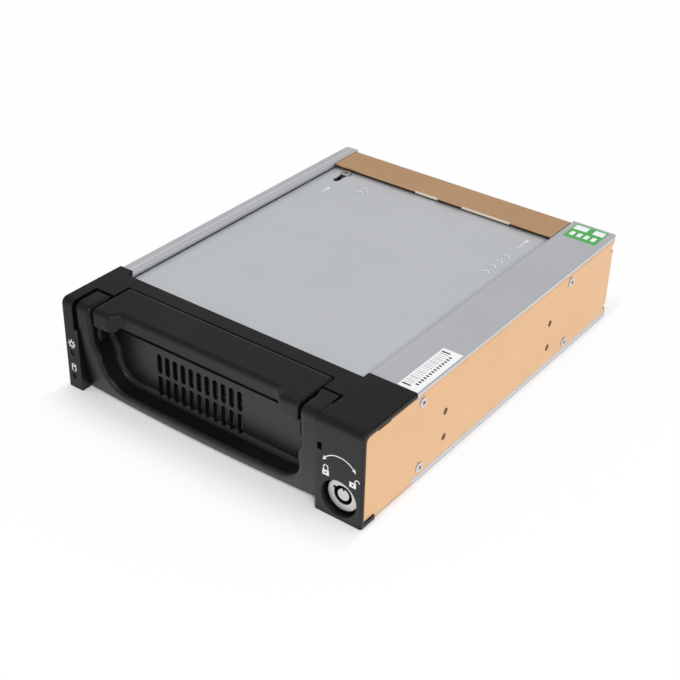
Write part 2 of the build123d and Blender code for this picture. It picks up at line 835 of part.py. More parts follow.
save(tray_pan, "tray_pan")


# Tray front: bowed and leaning face, scooped finger pocket and a two-row grille
pocket_back = front_back - grip_wall
with BuildPart() as tray_front:
    bow_axis = Axis((front_middle, back(front_set - front_bow + bow_radius), 0), (0, 0, 1))
    outward = Vector(0, -1, 0).rotate(Axis.Z, -front_swing)
    with BuildSketch(Plane(bow_axis.position, x_dir=outward, z_dir=outward.cross(Vector(0, 0, 1)))):
        with BuildLine():
            foot = bow_radius + front_set - front_tilt
            ThreePointArc(
                (bow_radius, bezel_height),
                (bow_radius + front_set - front_lean, (front_foot + bezel_height) / 2),
                (foot, front_foot),
            )
            Polyline(
                (foot, front_foot),
                (bow_radius - 2 * front_back, front_foot),
                (bow_radius - 2 * front_back, bezel_height),
                (bow_radius, bezel_height),
            )
        make_face()
    revolve(axis=bow_axis, revolution_arc=2 * front_swing)
    with BuildSketch(facing(-front_bow)):
        rect(front_left, front_right, front_foot, bezel_height)
    extrude(amount=-front_bow - front_back, mode=Mode.INTERSECT)
    fillet(tray_front.edges().group_by(Axis.Z)[-1].sort_by(Axis.Y)[0], bezel_round)
    fillet(tray_front.edges().group_by(Axis.Z)[0].sort_by(Axis.Y)[0], lip_round)
    # Finger pocket, open at the top under the handle
    with BuildSketch(facing(-front_bow)) as pocket:
        with BuildLine():
            Polyline(
                (pocket_left, bezel_height + 1),
                (pocket_left, ledge_top),
                (pocket_left + left_ledge, ledge_top - ledge_drop),
                (pocket_left + left_ledge, pocket_floor),
                (pocket_right - right_ledge, pocket_floor),
                (pocket_right - right_ledge, ledge_top - ledge_drop),
                (pocket_right, ledge_top),
                (pocket_right, bezel_height + 1),
                close=True,
            )
        make_face()
        fillet(pocket.vertices().filter_by_position(Axis.Y, ledge_top - ledge_drop, ledge_top), ledge_round)
        fillet(pocket.vertices().group_by(Axis.Y)[0].sort_by(Axis.X)[0], pocket_left_round)
        fillet(pocket.vertices().group_by(Axis.Y)[0].sort_by(Axis.X)[-1], pocket_right_round)
    extrude(amount=-front_bow - pocket_back, mode=Mode.SUBTRACT)
    back_edges = tray_front.edges().filter_by(lambda e: abs(e.center().Y - back(pocket_back)) < 0.1)
    fillet(back_edges.filter_by(lambda e: e.center().Z < bezel_height - 0.1), pocket_scoop)
    # Rolled edge round the pocket
    face_edges = tray_front.edges().filter_by(lambda e: e.center().Y < back(front_tilt + lip_round))
    pocket_edges = face_edges.filter_by(lambda e: pocket_left - 0.1 < e.center().X < pocket_right + 0.1)
    fillet(pocket_edges.filter_by(lambda e: e.center().Z > pocket_floor - 0.1), edge_round)
    # Top of the back wall and of the two shoulders
    with BuildSketch(facing(-1)):
        rect(pocket_left, pocket_right, column_top, bezel_height + 1)
    extrude(amount=-length / 2, mode=Mode.SUBTRACT)
    with BuildSketch(Plane.XY.offset(column_top)):
        rect(front_left - 1, pocket_left, back(left_shoulder), back(front_back + 1))
    extrude(amount=shoulder_height + 1, mode=Mode.SUBTRACT)
    with BuildSketch(Plane.XY.offset(column_top)):
        rect(pocket_right, front_right, back(front_back), back(right_shoulder))
    extrude(amount=shoulder_height)
    # Grille
    with BuildSketch(facing(pocket_back - 1)):
        for z in slot_rows:
            with Locations((grille_x, z)):
                with GridLocations(slot_pitch, 1, slot_count, 1):
                    SlotOverall(slot_height, slot_width, rotation=90)
    extrude(amount=-grip_wall - 2, mode=Mode.SUBTRACT)
    # Seats of the pivot pins and of the screws
    for x, way in ((pocket_left, -1), (pocket_right, 1)):
        with BuildSketch(Plane.YZ.offset(x)):
            with Locations((back(pivot_depth), pivot_z)):
                Circle(pin_radius + running / 3)
        extrude(amount=way * pin_seat, mode=Mode.SUBTRACT)
    with BuildSketch(facing(front_back)):
        with Locations(*tray_screw_places()):
            Circle(tray_screw + running / 3)
    extrude(amount=tray_screw_length, mode=Mode.SUBTRACT)
save(tray_front, "tray_front")

with BuildPart() as handle_pins:
    for x, way in ((pocket_left, -1), (pocket_right, 1)):
        with BuildSketch(Plane.YZ.offset(x + way * pin_seat)):
            with Locations((back(pivot_depth), pivot_z)):
                Circle(pin_radius)
        extrude(amount=-way * (pin_seat + handle_gap + arm_wall))
save(handle_pins, "handle_pins")

with BuildPart() as tray_screws:
    with BuildSketch(facing(front_back + sheet)):
        with Locations(*tray_screw_places()):
            Circle(tray_screw * 1.8)
    extrude(amount=-sheet * 1.2)
    with BuildSketch(facing(front_back + sheet)):
        with Locations(*tray_screw_places()):
            Circle(tray_screw)
    extrude(amount=sheet + tray_screw_length - slide_gap)
save(tray_screws, "tray_screws")


# Adapter board of the tray: drive socket in front, docking plug through the rear wall
board_seat = tray_end - sheet
with BuildPart() as tray_board:
    with BuildSketch(facing(board_seat - board)):
        with Locations((dock_x, dock_z)):
            Rectangle(dock_width * 1.6, dock_height * 2)
    extrude(amount=-board)
save(tray_board, "tray_board")

with BuildPart() as drive_socket:
    with BuildSketch(facing(board_seat - board)):
        with Locations((dock_x, dock_z)):
            Rectangle(drive_socket_width, drive_socket_height)
    extrude(amount=drive_socket_depth)
    with BuildSketch(facing(board_seat - board - drive_socket_depth)):
        with Locations((dock_x, dock_z)):
            Rectangle(drive_socket_width - 4 * port_wall, drive_socket_height - 2 * port_wall)
    extrude(amount=port_wall - drive_socket_depth, mode=Mode.SUBTRACT)
save(drive_socket, "drive_socket")

plug_front = tray_end + plug_step
with BuildPart() as dock_plug:
    with BuildSketch(facing(board_seat)):
        with Locations((dock_x, dock_z)):
            Rectangle(dock_width, dock_height)
    extrude(amount=board_seat - plug_front)
    with BuildSketch(facing(plug_front)):
        with Locations((dock_x, dock_z)):
            Rectangle(tongue_width, tongue_height)
    extrude(amount=-tongue_length)
    chamfer(dock_plug.edges().group_by(Axis.Y)[-1], running * 10)
save(dock_plug, "dock_plug")


# Catch that the lock's cam stands in front of when it is locked
catch_front = cam_depth + cam_thick + 2 * slide_gap
with BuildPart() as lock_catch:
    with BuildSketch(Plane.XY.offset(catch_low)):
        rect(pan_right, pan_right + cover_sheet, back(catch_front), back(catch_front + catch_length))
        rect(pan_right, front_right - fit_gap, back(catch_front), back(catch_front + sheet))
    extrude(amount=catch_height)
save(lock_catch, "lock_catch")


# Sliding tray cover, with the post and the screw that guide it
with BuildPart() as tray_cover:
    with BuildSketch(facing(cover_front)):
        rect(tray_left, tray_right, cover_under, cover_top)
    extrude(amount=cover_front - cover_rear)
    with BuildSketch(facing(cover_front)):
        rect(tray_left, tray_left + cover_sheet, cover_top - cover_skirt, cover_top)
        rect(tray_right - cover_sheet, tray_right, cover_top - cover_skirt, cover_top)
    extrude(amount=cover_front - tray_end)
    with BuildSketch(Plane.XY.offset(cover_under - 1)):
        with Locations((post_x, back(post_depth - cover_travel / 2))):
            SlotCenterToCenter(cover_travel, 2 * (post_screw + slide_gap), rotation=90)
    extrude(amount=cover_sheet + 2, mode=Mode.SUBTRACT)
save(tray_cover, "tray_cover")

with BuildPart() as cover_post:
    with BuildSketch(Plane.XY.offset(tray_floor + sheet)):
        with Locations((post_x, back(post_depth))):
            Circle(post_size)
    extrude(amount=cover_under - slide_gap - tray_floor - sheet)
    with BuildSketch(Plane.XY.offset(cover_under)):
        with Locations((post_x, back(post_depth))):
            Circle(post_screw + running / 3)
    extrude(amount=-post_size * 3, mode=Mode.SUBTRACT)
save(cover_post, "cover_post")

with BuildPart() as cover_screw:
    with BuildSketch(Plane.XY.offset(cover_top + fit_gap)):
        with Locations((post_x, back(post_depth))):
            Circle(post_screw * 1.9)
    extrude(amount=sheet * 0.7)
    with BuildSketch(Plane.XY.offset(cover_top + fit_gap)):
        with Locations((post_x, back(post_depth))):
            Circle(post_screw)
    extrude(amount=-post_size * 2)
save(cover_screw, "cover_screw")


# Handle: scooped grip with a top plate, hung on two arms
skirt_low = bezel_height - handle_skirt


def grip_outline(inset):
    # Plan of the grip: two cheeks at the front and a straight bar set back between them
    left = handle_left + inset * arm_wall
    right = handle_right - inset * arm_wall
    cheek = cheek_depth + inset * skirt_wall
    bar = bar_setback + inset * skirt_wall
    turn = cheek_width - inset * skirt_wall
    Polyline(
        (left, back(handle_rear)),
        (left, back(cheek)),
        (handle_left + turn, back(cheek)),
        (handle_left + turn + ramp, back(bar)),
        (handle_right - turn - ramp, back(bar)),
        (handle_right - turn, back(cheek)),
        (right, back(cheek)),
        (right, back(handle_rear)),
        close=True,
    )


with BuildPart() as handle:
    with BuildSketch(Plane.XY.offset(skirt_low)) as grip:
        with BuildLine():
            grip_outline(0)
        make_face()
        fillet(grip.vertices().filter_by_position(Axis.X, handle_left + 1, handle_right - 1), ramp_round)
    extrude(amount=handle_skirt)
    front_edges = handle.edges().group_by(Axis.Z)[-1]
    fillet(front_edges.filter_by(lambda e: e.center().Y < back(bar_setback + 1)), grip_round)
    upright = handle.edges().filter_by(Axis.Z).filter_by(lambda e: e.center().Y < back(cheek_depth + 0.1))
    fillet(upright.group_by(Axis.X)[0] + upright.group_by(Axis.X)[-1], end_round)
    with BuildSketch(Plane.XY.offset(skirt_low - 1)):
        with BuildLine():
            grip_outline(1)
        make_face()
    extrude(amount=handle_skirt - handle_plate + 1, mode=Mode.SUBTRACT)
    # Only the plate goes on to the rear
    with BuildSketch(Plane.YZ.offset(handle_left - 1)):
        rect(back(pivot_depth + arm_radius), back(handle_rear + 1), 0, bezel_height - handle_plate)
    extrude(amount=bezel_width, mode=Mode.SUBTRACT)
    # Arms down to the pivot pins
    for x in (handle_left, handle_right - arm_wall):
        with BuildSketch(Plane.YZ.offset(x)):
            with Locations((back(pivot_depth), pivot_z)):
                Circle(arm_radius)
            rect(back(pivot_depth - arm_radius), back(pivot_depth + arm_radius), pivot_z, skirt_low + 1)
            with Locations((back(pivot_depth), pivot_z)):
                Circle(pin_radius + running, mode=Mode.SUBTRACT)
        extrude(amount=arm_wall)
save(handle, "handle")
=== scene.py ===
import math
import bmesh
import bpy
from mathutils import Matrix, Vector


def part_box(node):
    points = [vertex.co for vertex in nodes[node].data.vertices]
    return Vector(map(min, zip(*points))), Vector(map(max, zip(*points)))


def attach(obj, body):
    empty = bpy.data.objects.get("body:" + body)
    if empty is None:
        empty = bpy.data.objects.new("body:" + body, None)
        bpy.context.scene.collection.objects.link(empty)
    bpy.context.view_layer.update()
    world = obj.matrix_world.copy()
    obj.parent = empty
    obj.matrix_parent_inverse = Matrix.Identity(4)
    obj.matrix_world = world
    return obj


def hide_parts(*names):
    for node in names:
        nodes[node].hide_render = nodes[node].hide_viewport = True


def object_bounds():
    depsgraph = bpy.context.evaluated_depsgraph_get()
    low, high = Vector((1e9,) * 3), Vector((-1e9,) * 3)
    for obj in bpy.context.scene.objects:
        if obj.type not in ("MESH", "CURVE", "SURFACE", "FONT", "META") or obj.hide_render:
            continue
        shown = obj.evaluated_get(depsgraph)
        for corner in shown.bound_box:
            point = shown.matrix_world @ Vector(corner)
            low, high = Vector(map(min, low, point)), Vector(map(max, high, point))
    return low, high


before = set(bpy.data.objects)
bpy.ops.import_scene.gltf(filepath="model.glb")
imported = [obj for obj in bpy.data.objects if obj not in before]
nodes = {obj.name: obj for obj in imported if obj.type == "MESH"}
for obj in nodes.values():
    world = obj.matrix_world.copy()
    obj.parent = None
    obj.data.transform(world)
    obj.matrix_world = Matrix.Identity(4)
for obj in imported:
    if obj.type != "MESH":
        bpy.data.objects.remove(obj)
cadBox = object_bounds()
mm = 0.001
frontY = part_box("front_bezel")[0].y
print("frame loaded,", len(nodes), "nodes")


# shader helpers

def startFinish(name):
    material = bpy.data.materials.new(name)
    material.use_nodes = True
    tree = material.node_tree
    return material, tree, tree.nodes["Principled BSDF"]


def addNode(tree, kind, inputs=None):
    made = tree.nodes.new(kind)
    for key, value in (inputs or {}).items():
        made.inputs[key].default_value = value
    return made


def noiseOn(tree, scale, stretch=(1, 1, 1), detail=2.0):
    place = addNode(tree, "ShaderNodeTexCoord")
    mapped = addNode(tree, "ShaderNodeMapping", {"Scale": stretch})
    noise = addNode(tree, "ShaderNodeTexNoise", {"Scale": scale, "Detail": detail})
    tree.links.new(place.outputs["Object"], mapped.inputs["Vector"])
    tree.links.new(mapped.outputs["Vector"], noise.inputs["Vector"])
    return noise.outputs["Fac"]


def tint(tree, factor, low, high):
    ramp = tree.nodes.new("ShaderNodeValToRGB")
    for stop, where, colour in zip(ramp.color_ramp.elements, (0.3, 0.7), (low, high)):
        stop.position = where
        stop.color = (*colour, 1)
    tree.links.new(factor, ramp.inputs["Fac"])
    return ramp.outputs["Color"]


def between(tree, factor, low, high):
    spread = addNode(tree, "ShaderNodeMapRange", {"From Min": 0.3, "From Max": 0.7, "To Min": low, "To Max": high})
    tree.links.new(factor, spread.inputs["Value"])
    return spread.outputs["Result"]


def edgeMask(tree, radius, gain):
    # 1 on the edges of a piece, 0 on its flats
    soft = addNode(tree, "ShaderNodeBevel", {"Radius": radius})
    soft.samples = 6
    flat = addNode(tree, "ShaderNodeNewGeometry")
    dot = tree.nodes.new("ShaderNodeVectorMath")
    dot.operation = "DOT_PRODUCT"
    tree.links.new(soft.outputs["Normal"], dot.inputs[0])
    tree.links.new(flat.outputs["Normal"], dot.inputs[1])
    mask = addNode(tree, "ShaderNodeMapRange", {"From Min": 1.0, "From Max": 1.0 - 1.0 / gain})
    tree.links.new(dot.outputs["Value"], mask.inputs["Value"])
    return mask.outputs["Result"], soft.outputs["Normal"]


def mixColours(tree, factor, first, second):
    mix = tree.nodes.new("ShaderNodeMix")
    mix.data_type = "RGBA"
    mix.inputs[7].default_value = (*second, 1)
    tree.links.new(factor, mix.inputs["Factor"])
    tree.links.new(first, mix.inputs[6])
    return mix.outputs[2]


def raiseGrain(tree, shader, height, strength, distance, normal=None):
    bump = addNode(tree, "ShaderNodeBump", {"Strength": strength, "Distance": distance})
    tree.links.new(height, bump.inputs["Height"])
    if normal is not None:
        tree.links.new(normal, bump.inputs["Normal"])
    tree.links.new(bump.outputs["Normal"], shader.inputs["Normal"])


def paint(tree, shader, colour, rough):
    tree.links.new(colour, shader.inputs["Base Color"])
    tree.links.new(rough, shader.inputs["Roughness"])


# finishes

def paintedSheenAcross(tree, stops):
    # painted sheen: shine at given places from left to right, in millimetres, lower on the left so that side reads
    # darker as if less lit
    half = 80
    place = addNode(tree, "ShaderNodeTexCoord")
    parts = addNode(tree, "ShaderNodeSeparateXYZ")
    reach = addNode(tree, "ShaderNodeMapRange", {"From Min": -half * mm, "From Max": half * mm})
    ramp = tree.nodes.new("ShaderNodeValToRGB")
    while len(ramp.color_ramp.elements) < len(stops):
        ramp.color_ramp.elements.new(0.5)
    for stop, (x, level) in zip(ramp.color_ramp.elements, stops):
        stop.position = (x + half) / (2 * half)
        stop.color = (level, level, level, 1)
    tree.links.new(place.outputs["Object"], parts.inputs["Vector"])
    tree.links.new(parts.outputs["X"], reach.inputs["Value"])
    tree.links.new(reach.outputs["Result"], ramp.inputs["Fac"])
    return ramp.outputs["Color"]


def paintedShadowBelowBar(tree, level, band):
    # painted shadow: no shine along the lower edge of the set-back bar, standing in for the shade under it
    place = addNode(tree, "ShaderNodeTexCoord")
    parts = addNode(tree, "ShaderNodeSeparateXYZ")
    above = addNode(tree, "ShaderNodeMapRange", {"From Min": band["low"], "From Max": band["high"]})
    ahead = addNode(tree, "ShaderNodeMapRange", {"From Min": band["back"], "From Max": band["front"]})
    either = addNode(tree, "ShaderNodeMath")
    either.operation = "MAXIMUM"
    dimmed = addNode(tree, "ShaderNodeMath")
    dimmed.operation = "MULTIPLY"
    tree.links.new(place.outputs["Object"], parts.inputs["Vector"])
    tree.links.new(parts.outputs["Z"], above.inputs["Value"])
    tree.links.new(parts.outputs["Y"], ahead.inputs["Value"])
    tree.links.new(above.outputs["Result"], either.inputs[0])
    tree.links.new(ahead.outputs["Result"], either.inputs[1])
    tree.links.new(level, dimmed.inputs[0])
    tree.links.new(either.outputs["Value"], dimmed.inputs[1])
    return dimmed.outputs["Value"]


def mouldedPlastic(name, look):
    material, tree, shader = startFinish(name)
    cloud = noiseOn(tree, 60, detail=3.0)
    grain = noiseOn(tree, look["grain"], detail=2.0)
    body = tint(tree, cloud, look["dark"], look["light"])
    mask, rounded = edgeMask(tree, look["edge"], 3.0)
    paint(tree, shader, mixColours(tree, mask, body, look["rub"]), between(tree, grain, *look["rough"]))
    # painted shade: ambient occlusion lowers the shine in crevices, creases and under parts, so they read darker
    near = addNode(tree, "ShaderNodeAmbientOcclusion", {"Distance": look["shadeReach"]})
    near.samples = 8
    shine = addNode(tree, "ShaderNodeMapRange", {"From Min": 0.25, "From Max": 0.8, "To Min": 0.06})
    tree.links.new(near.outputs["AO"], shine.inputs["Value"])
    # painted sheen: the shine level varies from left to right
    if "sheenAcross" in look:
        tree.links.new(paintedSheenAcross(tree, look["sheenAcross"]), shine.inputs["To Max"])
    else:
        shine.inputs["To Max"].default_value = look["gloss"]
    level = shine.outputs["Result"]
    # painted shadow line under the set-back bar
    if "shadowBand" in look:
        level = paintedShadowBelowBar(tree, level, look["shadowBand"])
    tree.links.new(level, shader.inputs["Specular IOR Level"])
    raiseGrain(tree, shader, grain, look["depth"], 0.00012, rounded)
    return material


def bentSheet(name, look):
    material, tree, shader = startFinish(name)
    cloud = noiseOn(tree, 35, detail=3.0)
    speck = noiseOn(tree, look["speck"], look["stretch"], detail=3.0)
    body = tint(tree, cloud, look["dark"], look["light"])
    flecked = mixColours(tree, between(tree, speck, 0.0, look["fleck"]), body, look["bright"])
    mask, rounded = edgeMask(tree, look["edge"], 2.0)
    # painted shade: ambient occlusion darkens the colour in crevices, creases and under parts, towards a quarter of
    # the dark tone
    near = addNode(tree, "ShaderNodeAmbientOcclusion", {"Distance": look["shadeReach"]})
    near.samples = 8
    clear, deep = look.get("shade", (0.78, 0.36))
    shade = addNode(tree, "ShaderNodeMapRange", {"From Min": clear, "From Max": deep})
    tree.links.new(near.outputs["AO"], shade.inputs["Value"])
    edged = mixColours(tree, mask, flecked, look["bright"])
    shaded = mixColours(tree, shade.outputs["Result"], edged, tuple(0.25 * c for c in look["dark"]))
    paint(tree, shader, shaded, between(tree, speck, *look["rough"]))
    shader.inputs["Metallic"].default_value = look["metal"]
    shader.inputs["Specular IOR Level"].default_value = look["gloss"]
    raiseGrain(tree, shader, speck, look["depth"], 0.00004, rounded)
    return material


def greenLaminate(name, look):
    material, tree, shader = startFinish(name)
    place = addNode(tree, "ShaderNodeTexCoord")
    tracks = addNode(tree, "ShaderNodeTexBrick", {"Scale": look["tracks"], "Mortar Size": 0.035})
    tracks.inputs["Color1"].default_value = (*look["solder"], 1)
    tracks.inputs["Color2"].default_value = (*look["copper"], 1)
    tracks.inputs["Mortar"].default_value = (*look["gap"], 1)
    turned = addNode(tree, "ShaderNodeMapping", {"Rotation": (math.radians(90), 0, 0)})
    tree.links.new(place.outputs["Object"], turned.inputs["Vector"])
    tree.links.new(turned.outputs["Vector"], tracks.inputs["Vector"])
    weave = noiseOn(tree, 900, detail=2.0)
    tree.links.new(tracks.outputs["Color"], shader.inputs["Base Color"])
    tree.links.new(between(tree, weave, *look["rough"]), shader.inputs["Roughness"])
    raiseGrain(tree, shader, tracks.outputs["Fac"], 0.3, 0.00004)
    return material


def printedInk(name, look):
    material, tree, shader = startFinish(name)
    thin = noiseOn(tree, 1800, detail=3.0)
    paint(tree, shader, tint(tree, thin, look["thin"], look["full"]), between(tree, thin, *look["rough"]))
    shader.inputs["Specular IOR Level"].default_value = 0.2
    raiseGrain(tree, shader, thin, 0.2, 0.00002)
    return material


def darkLens(name, look):
    material, tree, shader = startFinish(name)
    depth = noiseOn(tree, 500, detail=1.0)
    paint(tree, shader, tint(tree, depth, look["dark"], look["light"]), between(tree, depth, 0.16, 0.26))
    shader.inputs["Specular IOR Level"].default_value = 0.12
    return material


goldSpec = {
    "dark": (0.805, 0.495, 0.265), "light": (0.845, 0.525, 0.287), "bright": (0.92, 0.68, 0.46),
    "speck": 2600, "stretch": (1, 0.35, 1), "fleck": 0.08, "rough": (0.34, 0.46), "metal": 0.74, "gloss": 0.3,
    "shadeReach": 0.0025, "edge": 0.00025, "depth": 0.10,
}
railSpec = {
    "dark": (0.625, 0.642, 0.672), "light": (0.655, 0.672, 0.702), "bright": (0.88, 0.89, 0.90),
    "speck": 1700, "stretch": (1, 0.012, 1), "fleck": 0.20, "rough": (0.32, 0.46), "metal": 0.55, "gloss": 0.3,
    "shadeReach": 0.0025, "edge": 0.00035, "depth": 0.16,
}
coverSpec = {
    "dark": (0.715, 0.735, 0.770), "light": (0.745, 0.765, 0.800), "bright": (0.90, 0.91, 0.92),
    "speck": 2200, "stretch": (1, 0.5, 1), "fleck": 0.10, "rough": (0.44, 0.58), "metal": 0.55, "gloss": 0.2,
    "shadeReach": 0.0045, "shade": (0.97, 0.50), "edge": 0.0002, "depth": 0.10,
}
# near-white gold for painted reflections on the strap's lips
paintedGlintGoldSpec = {
    "dark": (0.90, 0.80, 0.66), "light": (0.93, 0.84, 0.71), "bright": (0.96, 0.92, 0.84),
    "speck": 2600, "stretch": (1, 1, 1), "fleck": 0.10, "rough": (0.34, 0.46), "metal": 0.2, "gloss": 0.4,
    "shadeReach": 0.0025, "edge": 0.00005, "depth": 0.05,
}
# lighter metal for painted highlights on the raised cover marks and the flange ridge
paintedGlintSpec = {
    "dark": (0.80, 0.82, 0.84), "light": (0.86, 0.87, 0.89), "bright": (0.93, 0.93, 0.93),
    "speck": 2200, "stretch": (1, 1, 1), "fleck": 0.10, "rough": (0.40, 0.52), "metal": 0.25, "gloss": 0.4,
    "shadeReach": 0.0025, "edge": 0.00005, "depth": 0.05,
}
steelSpec = {
    "dark": (0.60, 0.60, 0.61), "light": (0.68, 0.68, 0.69), "bright": (0.86, 0.86, 0.86),
    "speck": 3000, "stretch": (1, 1, 1), "fleck": 0.12, "rough": (0.22, 0.36), "metal": 0.9, "gloss": 0.5,
    "shadeReach": 0.0025, "edge": 0.0001, "depth": 0.05,
}
nickelSpec = {
    "dark": (0.650, 0.632, 0.632), "light": (0.690, 0.672, 0.672), "bright": (0.84, 0.83, 0.83),
    "speck": 2500, "stretch": (1, 1, 1), "fleck": 0.06, "rough": (0.30, 0.42), "metal": 0.6, "gloss": 0.4,
    "shadeReach": 0.0025, "edge": 0.00015, "depth": 0.03,
}
brassSpec = {
    "dark": (0.55, 0.39, 0.15), "light": (0.64, 0.47, 0.20), "bright": (0.85, 0.68, 0.36),
    "speck": 2500, "stretch": (1, 1, 1), "fleck": 0.1, "rough": (0.22, 0.36), "metal": 0.95, "gloss": 0.5,
    "shadeReach": 0.0025, "edge": 0.0001, "depth": 0.05,
}
blackSpec = {
    "dark": (0.0034, 0.0035, 0.0036), "light": (0.0054, 0.0055, 0.0056), "rub": (0.015, 0.015, 0.016),
    "grain": 3200, "rough": (0.32, 0.44), "edge": 0.0004, "shadeReach": 0.005, "depth": 0.10,
    "sheenAcross": ((-74, 0.32), (-30, 0.43), (30, 0.44), (74, 0.40)),
}
handleBlackSpec = {
    "dark": (0.0034, 0.0035, 0.0036), "light": (0.0054, 0.0055, 0.0056), "rub": (0.0054, 0.0055, 0.0056),
    "grain": 3200, "rough": (0.30, 0.42), "edge": 0.0013, "shadeReach": 0.005, "depth": 0.10,
    "sheenAcross": ((-58, 0.26), (-44, 0.36), (-20, 0.42), (44, 0.44)),
    # painted shadow band under the bar
    "shadowBand": {"low": 35.1 * mm, "high": 35.6 * mm, "back": -90.0 * mm, "front": -91.2 * mm},
}
trayBlackSpec = {
    "dark": (0.0036, 0.0037, 0.0038), "light": (0.0056, 0.0057, 0.0058), "rub": (0.0056, 0.0057, 0.0058),
    "grain": 3200, "rough": (0.30, 0.42), "edge": 0.0005, "shadeReach": 0.005, "depth": 0.10,
    "sheenAcross": ((-66, 0.30), (-56, 0.36), (-40, 0.62), (36, 0.62), (46, 0.46)),
}
portSpec = {
    "dark": (0.006, 0.006, 0.007), "light": (0.010, 0.010, 0.011), "rub": (0.02, 0.02, 0.02),
    "grain": 4000, "rough": (0.30, 0.42), "gloss": 0.4, "edge": 0.0002, "shadeReach": 0.003, "depth": 0.05,
}
ivorySpec = {
    "dark": (0.72, 0.69, 0.61), "light": (0.78, 0.75, 0.67), "rub": (0.82, 0.80, 0.74),
    "grain": 3500, "rough": (0.34, 0.46), "gloss": 0.4, "edge": 0.0002, "shadeReach": 0.003, "depth": 0.05,
}
laminateSpec = {
    "solder": (0.010, 0.100, 0.040), "copper": (0.014, 0.135, 0.055), "gap": (0.007, 0.060, 0.025),
    "tracks": 260, "rough": (0.26, 0.40),
}
lensSpec = {"dark": (0.002, 0.0024, 0.0022), "light": (0.005, 0.006, 0.0055)}
whiteInkSpec = {"thin": (0.70, 0.71, 0.71), "full": (0.80, 0.81, 0.81), "rough": (0.5, 0.65)}
greyInkSpec = {"thin": (0.46, 0.46, 0.47), "full": (0.36, 0.36, 0.37), "rough": (0.5, 0.65)}
blackInkSpec = {"thin": (0.03, 0.03, 0.035), "full": (0.012, 0.012, 0.014), "rough": (0.5, 0.65)}
paperSpec = {"thin": (0.84, 0.85, 0.86), "full": (0.89, 0.90, 0.91), "rough": (0.5, 0.62)}
greenInkSpec = {"thin": (0.075, 0.40, 0.085), "full": (0.095, 0.46, 0.105), "rough": (0.38, 0.5)}

goldSheet = bentSheet("goldSheet", goldSpec)
railMetal = bentSheet("railMetal", railSpec)
coverMetal = bentSheet("coverMetal", coverSpec)
paintedGlintGold = bentSheet("paintedGlintGold", paintedGlintGoldSpec)
paintedGlintMetal = bentSheet("paintedGlintMetal", paintedGlintSpec)
screwSteel = bentSheet("screwSteel", steelSpec)
lockNickel = bentSheet("lockNickel", nickelSpec)
spacerBrass = bentSheet("spacerBrass", brassSpec)
blackPlastic = mouldedPlastic("blackPlastic", blackSpec)
handleBlack = mouldedPlastic("handleBlack", handleBlackSpec)
trayBlack = mouldedPlastic("trayBlack", trayBlackSpec)
portPlastic = mouldedPlastic("portPlastic", portSpec)
ivoryPlastic = mouldedPlastic("ivoryPlastic", ivorySpec)
boardGreen = greenLaminate("boardGreen", laminateSpec)
lensPlastic = darkLens("lensPlastic", lensSpec)
whiteInk = printedInk("whiteInk", whiteInkSpec)
greyInk = printedInk("greyInk", greyInkSpec)
blackInk = printedInk("blackInk", blackInkSpec)
labelPaper = printedInk("labelPaper", paperSpec)
greenInk = printedInk("greenInk", greenInkSpec)

nodeFinish = {
    goldSheet: ("chassis_shell",),
    railMetal: ("left_rail", "right_rail"),
    blackPlastic: ("front_bezel", "handle_pins"),
    handleBlack: ("handle",),
    trayBlack: ("tray_front",),
    coverMetal: ("tray_cover", "tray_pan", "cover_post", "lock_catch"),
    screwSteel: ("rail_screws", "lock_nut", "lock_cam", "cam_screw", "board_screws", "fan_screws",
                 "tray_screws", "cover_screw"),
    lockNickel: ("lock_body", "lock_plug"),
    lensPlastic: ("led_lenses",),
    boardGreen: ("led_board", "backplane_board", "tray_board"),
    spacerBrass: ("board_standoffs",),
    portPlastic: ("dock_socket", "data_port", "fan_housing", "fan_rotor", "drive_socket", "dock_plug"),
    ivoryPlastic: ("power_socket",),
}
for finish, names in nodeFinish.items():
    for name in names:
        if not nodes[name].material_slots:
            nodes[name].data.materials.append(finish)
        for place in nodes[name].material_slots:
            place.material = finish
print("finishes given to", sum(len(names) for names in nodeFinish.values()), "nodes")


# mesh helpers

def settle(name, mesh, finish, body):
    # hangs a finished mesh on its body
    piece = bpy.data.objects.new(name, mesh)
    bpy.context.scene.collection.objects.link(piece)
    mesh.materials.clear()
    mesh.materials.append(finish)
    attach(piece, body)
    return piece


def asMesh(name, shape, smooth=True):
    bmesh.ops.recalc_face_normals(shape, faces=shape.faces)
    mesh = bpy.data.meshes.new(name)
    shape.to_mesh(mesh)
    shape.free()
    if smooth:
        mesh.shade_smooth()
        mesh.set_sharp_from_angle(angle=math.radians(35))
    return mesh


def lathe(profile, steps):
    # turns (radius, height) points round Z
    shape = bmesh.new()
    rings = []
    for radius, height in profile:
        if radius == 0:
            rings.append([shape.verts.new((0, 0, height))] * steps)
            continue
        turn = [2 * math.pi * i / steps for i in range(steps)]
        rings.append([shape.verts.new((radius * math.cos(a), radius * math.sin(a), height)) for a in turn])
    for low, high in zip(rings, rings[1:]):
        for i in range(steps):
            j = (i + 1) % steps
            corners = [low[i], low[j], high[j], high[i]]
            shape.faces.new(list(dict.fromkeys(corners)))
    bmesh.ops.remove_doubles(shape, verts=shape.verts, dist=1e-7)
    return shape


def addBlock(shape, centre, size, edge=0.0, turn=0.0):
    # a box with rounded edges
    spot = Matrix.Translation(centre) @ Matrix.Rotation(turn, 4, "Z") @ Matrix.Diagonal((*size, 1))
    made = bmesh.ops.create_cube(shape, size=1.0, matrix=spot)
    if edge:
        edges = list({e for v in made["verts"] for e in v.link_edges})
        bmesh.ops.bevel(shape, geom=edges, offset=edge, segments=2, profile=0.5, affect="EDGES")


